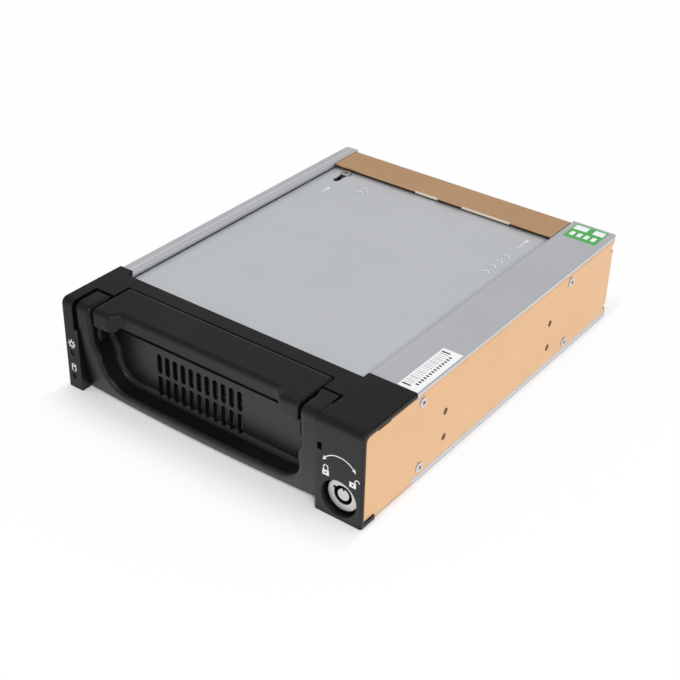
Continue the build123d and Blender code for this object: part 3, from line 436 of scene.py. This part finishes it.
def copies(shape, spots):
    # one shape at many places
    source = bpy.data.meshes.new("source")
    shape.to_mesh(source)
    shape.free()
    whole = bmesh.new()
    for spot in spots:
        start = len(whole.verts)
        whole.from_mesh(source)
        whole.verts.ensure_lookup_table()
        bmesh.ops.transform(whole, matrix=spot, verts=whole.verts[start:])
    bpy.data.meshes.remove(source)
    return whole


def cutAway(shape, cutter):
    # shape minus cutter
    meshes = []
    things = []
    for part in (shape, cutter):
        mesh = bpy.data.meshes.new("cutWork")
        bmesh.ops.recalc_face_normals(part, faces=part.faces)
        part.to_mesh(mesh)
        part.free()
        thing = bpy.data.objects.new("cutWork", mesh)
        bpy.context.scene.collection.objects.link(thing)
        meshes.append(mesh)
        things.append(thing)
    change = things[0].modifiers.new("cut", "BOOLEAN")
    change.object = things[1]
    change.solver = "EXACT"
    change.use_self = True
    bpy.context.view_layer.update()
    seen = things[0].evaluated_get(bpy.context.evaluated_depsgraph_get())
    result = bmesh.new()
    result.from_mesh(seen.to_mesh())
    seen.to_mesh_clear()
    for thing, mesh in zip(things, meshes):
        bpy.data.objects.remove(thing)
        bpy.data.meshes.remove(mesh)
    return result


def printOn(name, loops, thick, spot, soft=0.0):
    # flat shapes from closed outlines in millimetres, a hole being an outline inside another
    curve = bpy.data.curves.new(name, "CURVE")
    curve.dimensions = "2D"
    curve.fill_mode = "BOTH"
    curve.extrude = thick / 2
    curve.bevel_depth = soft
    curve.bevel_resolution = 2
    for loop in loops:
        line = curve.splines.new("POLY")
        line.points.add(len(loop) - 1)
        for point, (x, y) in zip(line.points, loop):
            point.co = (x * mm, y * mm, 0, 1)
        line.use_cyclic_u = True
    thing = bpy.data.objects.new(name, curve)
    bpy.context.scene.collection.objects.link(thing)
    bpy.context.view_layer.update()
    seen = thing.evaluated_get(bpy.context.evaluated_depsgraph_get())
    mesh = bpy.data.meshes.new_from_object(seen)
    bpy.data.objects.remove(thing)
    bpy.data.curves.remove(curve)
    mesh.transform(spot)
    mesh.name = name
    return mesh


def circle(x, y, radius, steps=28):
    turn = [2 * math.pi * i / steps for i in range(steps)]
    return [(x + radius * math.cos(a), y + radius * math.sin(a)) for a in turn]


def band(x, y, radius, width, start, end, steps=28):
    # part of a ring, angles in degrees
    angles = [math.radians(start + (end - start) * i / steps) for i in range(steps + 1)]
    outer = [(x + (radius + width / 2) * math.cos(a), y + (radius + width / 2) * math.sin(a)) for a in angles]
    inner = [(x + (radius - width / 2) * math.cos(a), y + (radius - width / 2) * math.sin(a)) for a in angles]
    return outer + inner[::-1]


def bar(x, y, width, height, turn=0.0):
    c = math.cos(math.radians(turn))
    s = math.sin(math.radians(turn))
    u, v = width / 2, height / 2
    corners = [(-u, -v), (u, -v), (u, v), (-u, v)]
    return [(x + u * c - v * s, y + u * s + v * c) for u, v in corners]


def onFront(x, z):
    # sketch x to the right, sketch y up, facing the front
    return Matrix(((1, 0, 0, x), (0, 0, -1, frontY), (0, 1, 0, z), (0, 0, 0, 1)))


def onTop(x, y, z):
    return Matrix.Translation((x, y, z))


def inMetres(profile):
    return [(radius * mm, height * mm) for radius, height in profile]


def turnedTo(place, turn, axis):
    return Matrix.Translation(place) @ Matrix.Rotation(turn, 4, axis)


def middle(node):
    low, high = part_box(node)
    return (low + high) / 2


# cross screws that stand for the plain ones

screwSpec = {"reach": 0.46, "arm": 0.11, "deep": 0.6, "pitch": 0.5, "groove": 0.13}


def crossScrew(head, height, shank, length):
    # domed head on a threaded shank, the head's underside at 0
    pitch = screwSpec["pitch"]
    start = 0.35 - length
    profile = [(0, -length), (shank - 0.35, -length), (shank, start)]
    for i in range(int((length - 0.6) / pitch)):
        profile += [(shank - screwSpec["groove"], start + (i + 0.5) * pitch), (shank, start + (i + 1) * pitch)]
    profile += [(shank, 0), (head, 0)]
    for step in range(7):
        share = step / 6
        rise = 0.35 + 0.65 * math.sin(share * math.pi / 2)
        profile.append((head * (1 - 0.45 * share ** 2), height * rise))
    profile.append((0, height))
    recess = bmesh.new()
    for turn in (0, math.pi / 2):
        size = Vector((2 * screwSpec["reach"] * head, 2 * screwSpec["arm"] * head, 2 * screwSpec["deep"]))
        addBlock(recess, (0, 0, height), size, 0.0, turn)
    screw = cutAway(lathe(profile, 32), recess)
    screw.transform(Matrix.Scale(mm, 4))
    return screw


sideScrewSpec = {"head": 2.2, "shank": 1.4, "length": 4.3}
low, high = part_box("rail_screws")
reach = sideScrewSpec["head"] * mm
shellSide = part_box("chassis_shell")[1].x
spots = []
for side in (-1, 1):
    for i, y in enumerate((low.y + reach, high.y - reach)):
        for j, z in enumerate((low.z + reach, high.z - reach)):
            facing = turnedTo((side * shellSide, y, z), side * math.pi / 2, "Y")
            spots.append(facing @ Matrix.Rotation(0.4 + 1.4 * i + 0.7 * j, 4, "Z"))
height = (high.x - shellSide) / mm
screw = crossScrew(sideScrewSpec["head"], height, sideScrewSpec["shank"], sideScrewSpec["length"])
sideScrews = settle("sideScrews", asMesh("sideScrews", copies(screw, spots)), screwSteel, "frame")
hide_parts("rail_screws")

coverScrewSpec = {"head": 2.47, "height": 0.7, "shank": 1.3}
low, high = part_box("cover_screw")
seat = high.z - coverScrewSpec["height"] * mm
screw = crossScrew(coverScrewSpec["head"], coverScrewSpec["height"], coverScrewSpec["shank"], (seat - low.z) / mm)
screw.transform(turnedTo((middle("cover_screw").x, middle("cover_screw").y, seat), 0.5, "Z"))
coverScrew = settle("coverScrew", asMesh("coverScrew", screw), screwSteel, "tray")
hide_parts("cover_screw")

fanScrewSpec = {"head": 2.52, "height": 0.6, "shank": 1.34}
low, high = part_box("fan_screws")
reach = fanScrewSpec["head"] * mm
seat = high.y - fanScrewSpec["height"] * mm
spots = []
for i, x in enumerate((low.x + reach, high.x - reach)):
    for j, z in enumerate((low.z + reach, high.z - reach)):
        spots.append(turnedTo((x, seat, z), -math.pi / 2, "X") @ Matrix.Rotation(0.3 + 0.9 * i + 0.5 * j, 4, "Z"))
screw = crossScrew(fanScrewSpec["head"], fanScrewSpec["height"], fanScrewSpec["shank"], (seat - low.y) / mm)
fanScrews = settle("fanScrews", asMesh("fanScrews", copies(screw, spots)), screwSteel, "frame")
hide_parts("fan_screws")
print("screws made")


# painted shadow: a dark sleeve in the ring-shaped keyway, standing in for the shade inside it

keywayShadowSpec = {"bore": 3.97, "wall": 0.1, "post": 2.56, "start": 0.3, "end": 5.9}
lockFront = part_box("lock_body")[0].y
lockX = middle("lock_body").x
lockZ = middle("lock_body").z
bore = keywayShadowSpec["bore"]
inner = bore - keywayShadowSpec["wall"]
start = -keywayShadowSpec["start"]
end = -keywayShadowSpec["end"]
ring = [(bore, start), (bore, end), (keywayShadowSpec["post"], end), (keywayShadowSpec["post"], end + keywayShadowSpec["wall"]),
        (inner, end + keywayShadowSpec["wall"]), (inner, start), (bore, start)]
keywayShadow = lathe(inMetres(ring), 48)
keywayShadow.transform(turnedTo((lockX, lockFront, lockZ), math.pi / 2, "X"))
settle("keywayShadowSleeve", asMesh("keywayShadowSleeve", keywayShadow), portPlastic, "frame")
print("keyway lined")


# contacts of the rear ports and of the docking plug

pinSpec = {"count": 4, "radius": 1.12, "pitch": 5.08, "floor": 1.2}
low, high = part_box("power_socket")
long = (high.y - low.y) / mm - pinSpec["floor"]
wide = pinSpec["radius"]
pin = lathe(inMetres([(0, 0), (wide, 0), (wide, long - 0.1), (wide - 0.12, long + 0.03), (0, long + 0.03)]), 24)
spots = []
for i in range(pinSpec["count"]):
    x = middle("power_socket").x + (i - (pinSpec["count"] - 1) / 2) * pinSpec["pitch"] * mm
    spots.append(turnedTo((x, high.y - long * mm, middle("power_socket").z), -math.pi / 2, "X"))
settle("powerPins", asMesh("powerPins", copies(pin, spots)), screwSteel, "frame")

leafSpec = {"count": 7, "pitch": 1.0, "wide": 0.62, "thick": 0.16, "tongue": 1.2, "floor": 2.4, "back": 0.4}
low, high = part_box("data_port")
leaves = bmesh.new()
long = high.y - low.y - leafSpec["floor"] * mm
for i in range(leafSpec["count"]):
    for side in (-1, 1):
        x = middle("data_port").x + (i - (leafSpec["count"] - 1) / 2) * leafSpec["pitch"] * mm
        z = middle("data_port").z + side * leafSpec["tongue"] / 2 * mm
        size = (leafSpec["wide"] * mm, long, leafSpec["thick"] * mm)
        addBlock(leaves, (x, high.y - leafSpec["back"] * mm - long / 2, z), size, 0.04 * mm)
settle("dataContacts", asMesh("dataContacts", leaves), spacerBrass, "frame")

stripSpec = {"count": 18, "pitch": 1.27, "wide": 0.762, "long": 3.24, "thick": 0.16, "tongue": 5.6, "back": 2.475}
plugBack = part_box("dock_plug")[1].y
strips = bmesh.new()
for i in range(stripSpec["count"]):
    for side in (-1, 1):
        x = middle("dock_plug").x + (i - (stripSpec["count"] - 1) / 2) * stripSpec["pitch"] * mm
        z = middle("dock_plug").z + side * stripSpec["tongue"] / 2 * mm
        size = (stripSpec["wide"] * mm, stripSpec["long"] * mm, stripSpec["thick"] * mm)
        addBlock(strips, (x, plugBack - stripSpec["back"] * mm, z), size, 0.04 * mm)
settle("dockContacts", asMesh("dockContacts", strips), spacerBrass, "tray")
print("contacts set")


# small parts on the front of the backplane

boardLow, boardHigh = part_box("backplane_board")


def onBoard(x, z, ahead):
    # place by shares of the board's size from its middle
    spot = middle("backplane_board")
    size = boardHigh - boardLow
    return (spot.x + x * size.x, boardLow.y - ahead * mm, spot.z + z * size.z)


chipSpec = {
    "high": 1.1, "chips": ((-0.33, 0.18, 7.0, 7.0), (0.36, -0.16, 5.0, 4.0)),
    "dots": ((-0.40, -0.20), (-0.37, -0.20), (0.42, 0.20), (0.42, 0.08), (0.30, -0.24)),
}
chips = bmesh.new()
for x, z, wide, tall in chipSpec["chips"]:
    size = (wide * mm, chipSpec["high"] * mm, tall * mm)
    addBlock(chips, onBoard(x, z, chipSpec["high"] / 2), size, 0.12 * mm)
for x, z in chipSpec["dots"]:
    addBlock(chips, onBoard(x, z, 0.3), (0.9 * mm, 0.6 * mm, 1.6 * mm), 0.08 * mm)
settle("boardChips", asMesh("boardChips", chips), portPlastic, "frame")

canSpec = {"radius": 1.9, "high": 2.4, "cans": ((-0.22, -0.24), (0.29, 0.22))}
wide = canSpec["radius"]
tall = canSpec["high"]
can = lathe(inMetres([(0, 0), (wide, 0), (wide, 0.5), (wide - 0.18, 0.65), (wide, 0.8), (wide, tall - 0.25),
                      (wide - 0.25, tall), (0, tall - 0.06)]), 28)
spots = [turnedTo(onBoard(x, z, 0), math.pi / 2, "X") for x, z in canSpec["cans"]]
settle("boardCans", asMesh("boardCans", copies(can, spots)), screwSteel, "frame")
print("board dressed")


# printed marks of the front

sunSpec = {"ring": 1.05, "stroke": 0.52, "rays": 8, "ray": (0.66, 0.50), "reach": 1.72}


def sunMark():
    half = sunSpec["stroke"] / 2
    loops = [circle(0, 0, sunSpec["ring"] + half), circle(0, 0, sunSpec["ring"] - half)]
    for i in range(sunSpec["rays"]):
        turn = 360 / sunSpec["rays"] * i
        x = sunSpec["reach"] * math.cos(math.radians(turn))
        y = sunSpec["reach"] * math.sin(math.radians(turn))
        loops.append(bar(x, y, *sunSpec["ray"], turn))
    return loops


driveSpec = {"width": 2.5, "height": 2.3, "stroke": 0.46, "flat": 0.62}


def halfOval(wide, rise, flat, start, steps=14):
    angles = [math.radians(start + 180 * i / steps) for i in range(steps + 1)]
    return [(wide / 2 * math.cos(a), rise + flat * math.sin(a)) for a in angles]


def driveMark():
    # a standing drum in outline, with a lid line
    wide = driveSpec["width"]
    half = driveSpec["height"] / 2
    flat = driveSpec["flat"]
    slim = wide - 2 * driveSpec["stroke"]
    thin = flat - driveSpec["stroke"] * 0.7
    outside = halfOval(wide, half, flat, 0) + halfOval(wide, -half, flat, 180)
    lid = halfOval(slim, half, thin, 0) + halfOval(slim, half, thin, 180)
    side = halfOval(slim, half - 0.36, 0.5, 180) + halfOval(slim, -half + 0.06, 0.45, 180)[::-1]
    return [outside, lid, side]


padlockSpec = {"body": (2.9, 2.3), "hole": 0.42, "shackle": 0.95, "stroke": 0.42, "legs": (1.2, 0.7)}


def padlockMark(isOpen):
    wide, tall = padlockSpec["body"]
    radius = padlockSpec["shackle"]
    stroke = padlockSpec["stroke"]
    leg = padlockSpec["legs"][isOpen]
    shift = 2 * radius * isOpen  # an open shackle stands beside the body
    loops = [bar(0, -tall / 2, wide, tall), circle(0, -tall / 2, padlockSpec["hole"], 16)]
    loops.append(band(shift, leg, radius, stroke, 0, 180))
    loops.append(bar(shift - radius, leg / 2, stroke, leg))
    if not isOpen:
        loops.append(bar(radius, leg / 2, stroke, leg))
    return loops


arcSpec = {"radius": 8.5, "stroke": 0.42, "ends": (38, 144), "arrowLength": 1.9, "arrowWidth": 1.6}


def turnArc():
    radius = arcSpec["radius"]
    start, end = arcSpec["ends"]
    loops = [band(0, 0, radius, arcSpec["stroke"], start + 6, end - 6)]
    for angle, way in ((start, -1), (end, 1)):
        a = math.radians(angle - way * 7)
        across = Vector((math.cos(a), math.sin(a)))
        along = Vector((-math.sin(a), math.cos(a))) * way
        base = across * radius
        half = across * arcSpec["arrowWidth"] / 2
        tip = base + along * arcSpec["arrowLength"] - across * 0.25
        loops.append([tuple(base + half), tuple(tip), tuple(base - half)])
    return loops


markSpec = {"ink": 0.02 * mm, "iconRise": 4.1, "lockSide": 5.9, "lockRise": 10.2, "arcRise": 9.9}
lensLow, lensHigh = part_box("led_lenses")
lensX = middle("led_lenses").x
iconUp = markSpec["iconRise"] * mm
lockUp = markSpec["lockRise"] * mm
aside = markSpec["lockSide"] * mm
marks = {
    "lightMark": (sunMark(), lensX, lensHigh.z - (lensHigh.x - lensX) + iconUp),
    "driveMark": (driveMark(), lensX, lensLow.z + (lensHigh.x - lensX) + iconUp),
    "lockedMark": (padlockMark(False), lockX - aside, lockZ + lockUp),
    "unlockedMark": (padlockMark(True), lockX + aside, lockZ + lockUp),
    "turnArc": (turnArc(), lockX, lockZ + markSpec["arcRise"] * mm),
}
for name, (loops, x, z) in marks.items():
    mesh = printOn(name, loops, markSpec["ink"], onFront(x, z))
    settle(name, mesh, whiteInk, "frame")
print("marks printed")


# paper label and corner sticker on the right flange

labelSpec = {
    "right": 1.0, "width": 8.8, "start": 34.3, "length": 30.6, "thick": 0.08 * mm, "barWidth": 3.7, "barInset": 0.7,
    "bars": (0.8, 0.3, 0.5, 0.3, 0.6, 0.3, 0.4, 0.5, 0.3, 0.3, 0.5, 0.4, 0.3, 0.6, 0.3, 0.5, 0.3, 0.3, 0.5, 0.8),
    "dashes": 14, "dashInset": 5.8,
}
railLow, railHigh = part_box("right_rail")
labelX = railHigh.x - (labelSpec["right"] + labelSpec["width"] / 2) * mm
labelY = frontY + (labelSpec["start"] + labelSpec["length"] / 2) * mm
labelZ = railHigh.z + labelSpec["thick"] / 2
sheetLoop = [bar(0, 0, labelSpec["width"], labelSpec["length"])]
mesh = printOn("flangeLabel", sheetLoop, labelSpec["thick"], onTop(labelX, labelY, labelZ))
settle("flangeLabel", mesh, labelPaper, "frame")
loops = []
faint = []
bars = labelSpec["bars"]
pitch = (labelSpec["length"] - 3.0) / len(bars)
barX = -labelSpec["width"] / 2 + labelSpec["barInset"] + labelSpec["barWidth"] / 2
for i, wide in enumerate(bars):
    ends = i in (0, len(bars) - 1)
    stroke = bar(barX, -labelSpec["length"] / 2 + 1.5 + pitch * (i + 0.5), labelSpec["barWidth"], wide)
    (loops if ends else faint).append(stroke)
pitch = (labelSpec["length"] - 7.0) / labelSpec["dashes"]
for i in range(labelSpec["dashes"]):
    y = -labelSpec["length"] / 2 + 3.5 + pitch * (i + 0.5)
    loops.append(bar(-labelSpec["width"] / 2 + labelSpec["dashInset"], y, 1.3, 0.5 * pitch))
mesh = printOn("labelBars", loops, 0.02 * mm, onTop(labelX, labelY, labelZ + labelSpec["thick"] / 2))
settle("labelBars", mesh, blackInk, "frame")
mesh = printOn("labelFaint", faint, 0.02 * mm, onTop(labelX, labelY, labelZ + labelSpec["thick"] / 2))
settle("labelFaint", mesh, greyInk, "frame")

stickerSpec = {
    "right": 3.4, "width": 15.4, "rear": 1.5, "length": 13.4, "thick": 0.08 * mm,
    "whites": ((-3.9, 3.7, 6.4, 4.2), (4.6, 3.7, 5.0, 4.2), (-5.1, -2.6, 2.0, 3.6), (-1.7, -2.6, 2.0, 3.6),
               (1.7, -2.6, 2.0, 3.6), (5.1, -2.6, 2.0, 3.6)),
}
stickerX = railHigh.x - (stickerSpec["right"] + stickerSpec["width"] / 2) * mm
stickerY = railHigh.y - (stickerSpec["rear"] + stickerSpec["length"] / 2) * mm
mesh = printOn("cornerSticker", [bar(0, 0, stickerSpec["width"], stickerSpec["length"])], stickerSpec["thick"],
               onTop(stickerX, stickerY, labelZ))
settle("cornerSticker", mesh, greenInk, "frame")
whites = [bar(*place) for place in stickerSpec["whites"]]
mesh = printOn("stickerWhite", whites, 0.02 * mm, onTop(stickerX, stickerY, labelZ + stickerSpec["thick"] / 2))
settle("stickerWhite", mesh, labelPaper, "frame")
print("labels laid")


# pressed marks of the tray cover, raised a little, their lighter metal a painted highlight

pressSpec = {"height": 0.12 * mm, "soft": 0.06 * mm, "stroke": 0.7, "wing": 1.6, "half": 2.0, "rise": 2.4}


def pressedArrow(long):
    half = pressSpec["stroke"] / 2
    wing = pressSpec["wing"]
    neck = long - 3
    return [[(-half, 0), (half, 0), (half, neck), (wing, neck), (0, long), (-wing, neck), (-half, neck)]]


def pressedChevrons(count, pitch):
    half = pressSpec["half"]
    rise = pressSpec["rise"]
    thick = pressSpec["stroke"] * 1.3
    loops = []
    for y in [i * pitch for i in range(count)]:
        lower = [(-half, y), (0, y + rise), (half, y)]
        loops.append(lower + [(u, v + thick) for u, v in lower[::-1]])
    return loops


# outline, then millimetres from the middle and from the front
pressed = {
    "coverArrow": (pressedArrow(10.0), 43.4, 153.5),
    "coverChevrons": (pressedChevrons(4, 5.6), 43.4, 126.5),
    "slotArrow": (pressedArrow(7.0), -54.5, 143.5),
    "slotChevrons": (pressedChevrons(2, 3.6), -40.6, 153.2),
}
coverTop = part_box("tray_cover")[1].z
for name, (loops, x, y) in pressed.items():
    mesh = printOn(name, loops, pressSpec["height"], onTop(x * mm, frontY + y * mm, coverTop), pressSpec["soft"])
    settle(name, mesh, paintedGlintMetal, "cover")
print("cover marks pressed")


# bright hems: lips of the strap with near-white faces as a painted reflection, a ridge on the left flange in
# lighter metal as a painted highlight, and the gold turned over the right flange's edge

# painted reflection: the lips' front faces get near-white plates for the white surroundings they mirror
lipSpec = {"lips": ((-20.0, 12.0), (5.0, 25.0)), "top": 0.35, "high": 1.25, "thick": 0.12, "front": 169.5}
leftLow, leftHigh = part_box("left_rail")
lips = bmesh.new()
for start, wide in lipSpec["lips"]:
    z = leftHigh.z - (lipSpec["top"] + lipSpec["high"] / 2) * mm
    size = (wide * mm, lipSpec["thick"] * mm, lipSpec["high"] * mm)
    addBlock(lips, ((start + wide / 2) * mm, frontY + lipSpec["front"] * mm, z), size, 0.05 * mm)
settle("strapLipGlints", asMesh("strapLipGlints", lips), paintedGlintGold, "frame")

ridgeSpec = {"inset": 3.6, "wide": 0.34, "high": 0.10, "short": 0.4}
ridge = bmesh.new()
size = (ridgeSpec["wide"] * mm, leftHigh.y - leftLow.y - ridgeSpec["short"] * mm, ridgeSpec["high"] * mm)
addBlock(ridge, (leftLow.x + ridgeSpec["inset"] * mm, middle("left_rail").y, leftHigh.z), size, 0.04 * mm)
# painted highlight: the ridge is in a lighter metal than the flange
settle("flangeRidge", asMesh("flangeRidge", ridge), paintedGlintMetal, "frame")

foldSpec = {"top": 1.05, "high": 1.0, "thick": 0.08, "short": 4.4}
fold = bmesh.new()
size = (foldSpec["thick"] * mm, railHigh.y - railLow.y - foldSpec["short"] * mm, foldSpec["high"] * mm)
z = railHigh.z - (foldSpec["top"] + foldSpec["high"] / 2) * mm
addBlock(fold, (railHigh.x, middle("right_rail").y, z), size, 0.02 * mm)
settle("flangeFold", asMesh("flangeFold", fold), goldSheet, "frame")
print("hems laid")


# stage, light and camera

floorSpec = {"size": 6.0, "colour": (0.95, 0.95, 0.955), "near": 0.0, "far": 0.85, "fade": 0.024, "sides": 12.0,
             "mirrored": (0.55, 1.0), "mirroredSpan": (-0.16, 0.05)}
lightSpec = {
    "key": {"place": (1.235, -1.256, 1.63), "size": 1.0, "glare": False, "power": 13.0},
    "spark": {"place": (1.235, -1.256, 1.63), "size": 0.45, "glare": True, "power": 12.0},
}
worldSpec = {"fill": 0.76, "horizon": 1.0, "ceiling": 0.34, "from": 0.02, "to": 0.28}
cameraSpec = {
    "place": (0.27694, -0.39054, 0.30865), "forward": (-0.4949, 0.6829, -0.5374), "right": (0.8012, 0.5980, 0.0222),
    "lens": 70.22, "sensor": 36.0,
}


def seenRays(tree):
    # 1 for rays of the camera and for what shows in metal and glass
    path = addNode(tree, "ShaderNodeLightPath")
    total = path.outputs["Is Camera Ray"]
    for name in ("Is Glossy Ray", "Is Transmission Ray"):
        most = tree.nodes.new("ShaderNodeMath")
        most.operation = "MAXIMUM"
        tree.links.new(total, most.inputs[0])
        tree.links.new(path.outputs[name], most.inputs[1])
        total = most.outputs["Value"]
    return total


def awayFrom(tree):
    # distance on the floor from the object's footprint, counted longer at the sides than in front
    place = addNode(tree, "ShaderNodeNewGeometry")
    shift = tree.nodes.new("ShaderNodeVectorMath")
    shift.operation = "SUBTRACT"
    shift.inputs[1].default_value = (cadBox[0] + cadBox[1]) / 2
    fold = tree.nodes.new("ShaderNodeVectorMath")
    fold.operation = "ABSOLUTE"
    out = tree.nodes.new("ShaderNodeVectorMath")
    out.operation = "SUBTRACT"
    out.inputs[1].default_value = (cadBox[1] - cadBox[0]) / 2
    clip = tree.nodes.new("ShaderNodeVectorMath")
    clip.operation = "MAXIMUM"
    weigh = tree.nodes.new("ShaderNodeVectorMath")
    weigh.operation = "MULTIPLY"
    weigh.inputs[1].default_value = (floorSpec["sides"], 1, 0)
    long = tree.nodes.new("ShaderNodeVectorMath")
    long.operation = "LENGTH"
    tree.links.new(place.outputs["Position"], shift.inputs[0])
    for first, second in zip((shift, fold, out, clip, weigh), (fold, out, clip, weigh, long)):
        tree.links.new(first.outputs["Vector"], second.inputs[0])
    return long.outputs["Value"]


def layFloor():
    material = bpy.data.materials.new("paleFloor")
    material.use_nodes = True
    tree = material.node_tree
    tree.nodes.clear()
    out = addNode(tree, "ShaderNodeOutputMaterial")
    matt = addNode(tree, "ShaderNodeBsdfDiffuse", {"Color": (*floorSpec["colour"], 1)})
    glow = addNode(tree, "ShaderNodeEmission", {"Strength": 1.0})
    # painted shade in reflections: the floor as metal and glass see it glows less to the left, which darkens the
    # left of the object
    mirrored = addNode(tree, "ShaderNodeEmission")
    place = addNode(tree, "ShaderNodeNewGeometry")
    parts = addNode(tree, "ShaderNodeSeparateXYZ")
    across = addNode(tree, "ShaderNodeMapRange", {
        "From Min": floorSpec["mirroredSpan"][0], "From Max": floorSpec["mirroredSpan"][1],
        "To Min": floorSpec["mirrored"][0], "To Max": floorSpec["mirrored"][1]})
    tree.links.new(place.outputs["Position"], parts.inputs["Vector"])
    tree.links.new(parts.outputs["X"], across.inputs["Value"])
    tree.links.new(across.outputs["Result"], mirrored.inputs["Strength"])
    path = addNode(tree, "ShaderNodeLightPath")
    both = tree.nodes.new("ShaderNodeMixShader")
    mix = tree.nodes.new("ShaderNodeMixShader")
    fade = addNode(tree, "ShaderNodeMapRange", {"From Max": floorSpec["fade"], "To Min": floorSpec["near"],
                                                "To Max": floorSpec["far"]})
    fade.interpolation_type = "SMOOTHSTEP"
    tree.links.new(awayFrom(tree), fade.inputs["Value"])
    share = tree.nodes.new("ShaderNodeMath")
    share.operation = "MULTIPLY"
    tree.links.new(fade.outputs["Result"], share.inputs[1])
    tree.links.new(seenRays(tree), share.inputs[0])
    tree.links.new(share.outputs["Value"], mix.inputs["Fac"])
    tree.links.new(matt.outputs["BSDF"], mix.inputs[1])
    tree.links.new(glow.outputs["Emission"], mix.inputs[2])
    tree.links.new(path.outputs["Is Glossy Ray"], both.inputs["Fac"])
    tree.links.new(mix.outputs["Shader"], both.inputs[1])
    tree.links.new(mirrored.outputs["Emission"], both.inputs[2])
    tree.links.new(both.outputs["Shader"], out.inputs["Surface"])
    shape = bmesh.new()
    bmesh.ops.create_grid(shape, x_segments=4, y_segments=4, size=floorSpec["size"])
    mesh = asMesh("floor", shape, smooth=False)
    mesh.materials.append(material)
    floor = bpy.data.objects.new("floor", mesh)
    bpy.context.scene.collection.objects.link(floor)
    floor.location.z = cadBox[0][2] - 0.0002


def hangLights():
    for name, spec in lightSpec.items():
        lamp = bpy.data.lights.new(name + "Light", "AREA")
        lamp.size = spec["size"]
        lamp.energy = spec["power"]
        thing = bpy.data.objects.new(name + "Light", lamp)
        bpy.context.scene.collection.objects.link(thing)
        thing.location = spec["place"]
        thing.visible_glossy = spec["glare"]  # without it, level tops don't clip when seen against the light
        aim = Vector((0, 0, 0.02)) - Vector(spec["place"])
        thing.rotation_euler = aim.to_track_quat("-Z", "Y").to_euler()


def setWorld():
    world = bpy.data.worlds.new("studio")
    world.use_nodes = True
    tree = world.node_tree
    tree.nodes.clear()
    out = addNode(tree, "ShaderNodeOutputWorld")
    fill = addNode(tree, "ShaderNodeBackground", {"Strength": worldSpec["fill"]})
    seen = addNode(tree, "ShaderNodeBackground")
    way = addNode(tree, "ShaderNodeTexCoord")
    parts = addNode(tree, "ShaderNodeSeparateXYZ")
    fall = addNode(tree, "ShaderNodeMapRange", {"From Min": worldSpec["from"], "From Max": worldSpec["to"],
                                                "To Min": worldSpec["horizon"], "To Max": worldSpec["ceiling"]})
    tree.links.new(way.outputs["Generated"], parts.inputs["Vector"])
    tree.links.new(parts.outputs["Z"], fall.inputs["Value"])
    tree.links.new(fall.outputs["Result"], seen.inputs["Strength"])
    for ground in (fill, seen):
        ground.inputs["Color"].default_value = (1, 1, 1, 1)
    mix = tree.nodes.new("ShaderNodeMixShader")
    tree.links.new(seenRays(tree), mix.inputs["Fac"])
    tree.links.new(fill.outputs["Background"], mix.inputs[1])
    tree.links.new(seen.outputs["Background"], mix.inputs[2])
    tree.links.new(mix.outputs["Shader"], out.inputs["Surface"])
    bpy.context.scene.world = world


def placeCamera():
    lens = bpy.data.cameras.new("photoCamera")
    lens.lens = cameraSpec["lens"]
    lens.sensor_width = cameraSpec["sensor"]
    lens.sensor_fit = "HORIZONTAL"
    lens.clip_start = 0.01
    thing = bpy.data.objects.new("photoCamera", lens)
    bpy.context.scene.collection.objects.link(thing)
    right = Vector(cameraSpec["right"]).normalized()
    forward = Vector(cameraSpec["forward"]).normalized()
    up = right.cross(forward).normalized()
    turn = Matrix((right, up, -forward)).transposed().to_4x4()
    thing.matrix_world = Matrix.Translation(cameraSpec["place"]) @ turn
    bpy.context.scene.camera = thing


layFloor()
hangLights()
setWorld()
placeCamera()
bpy.context.scene.view_settings.view_transform = "Standard"
print("stage, light and camera set")
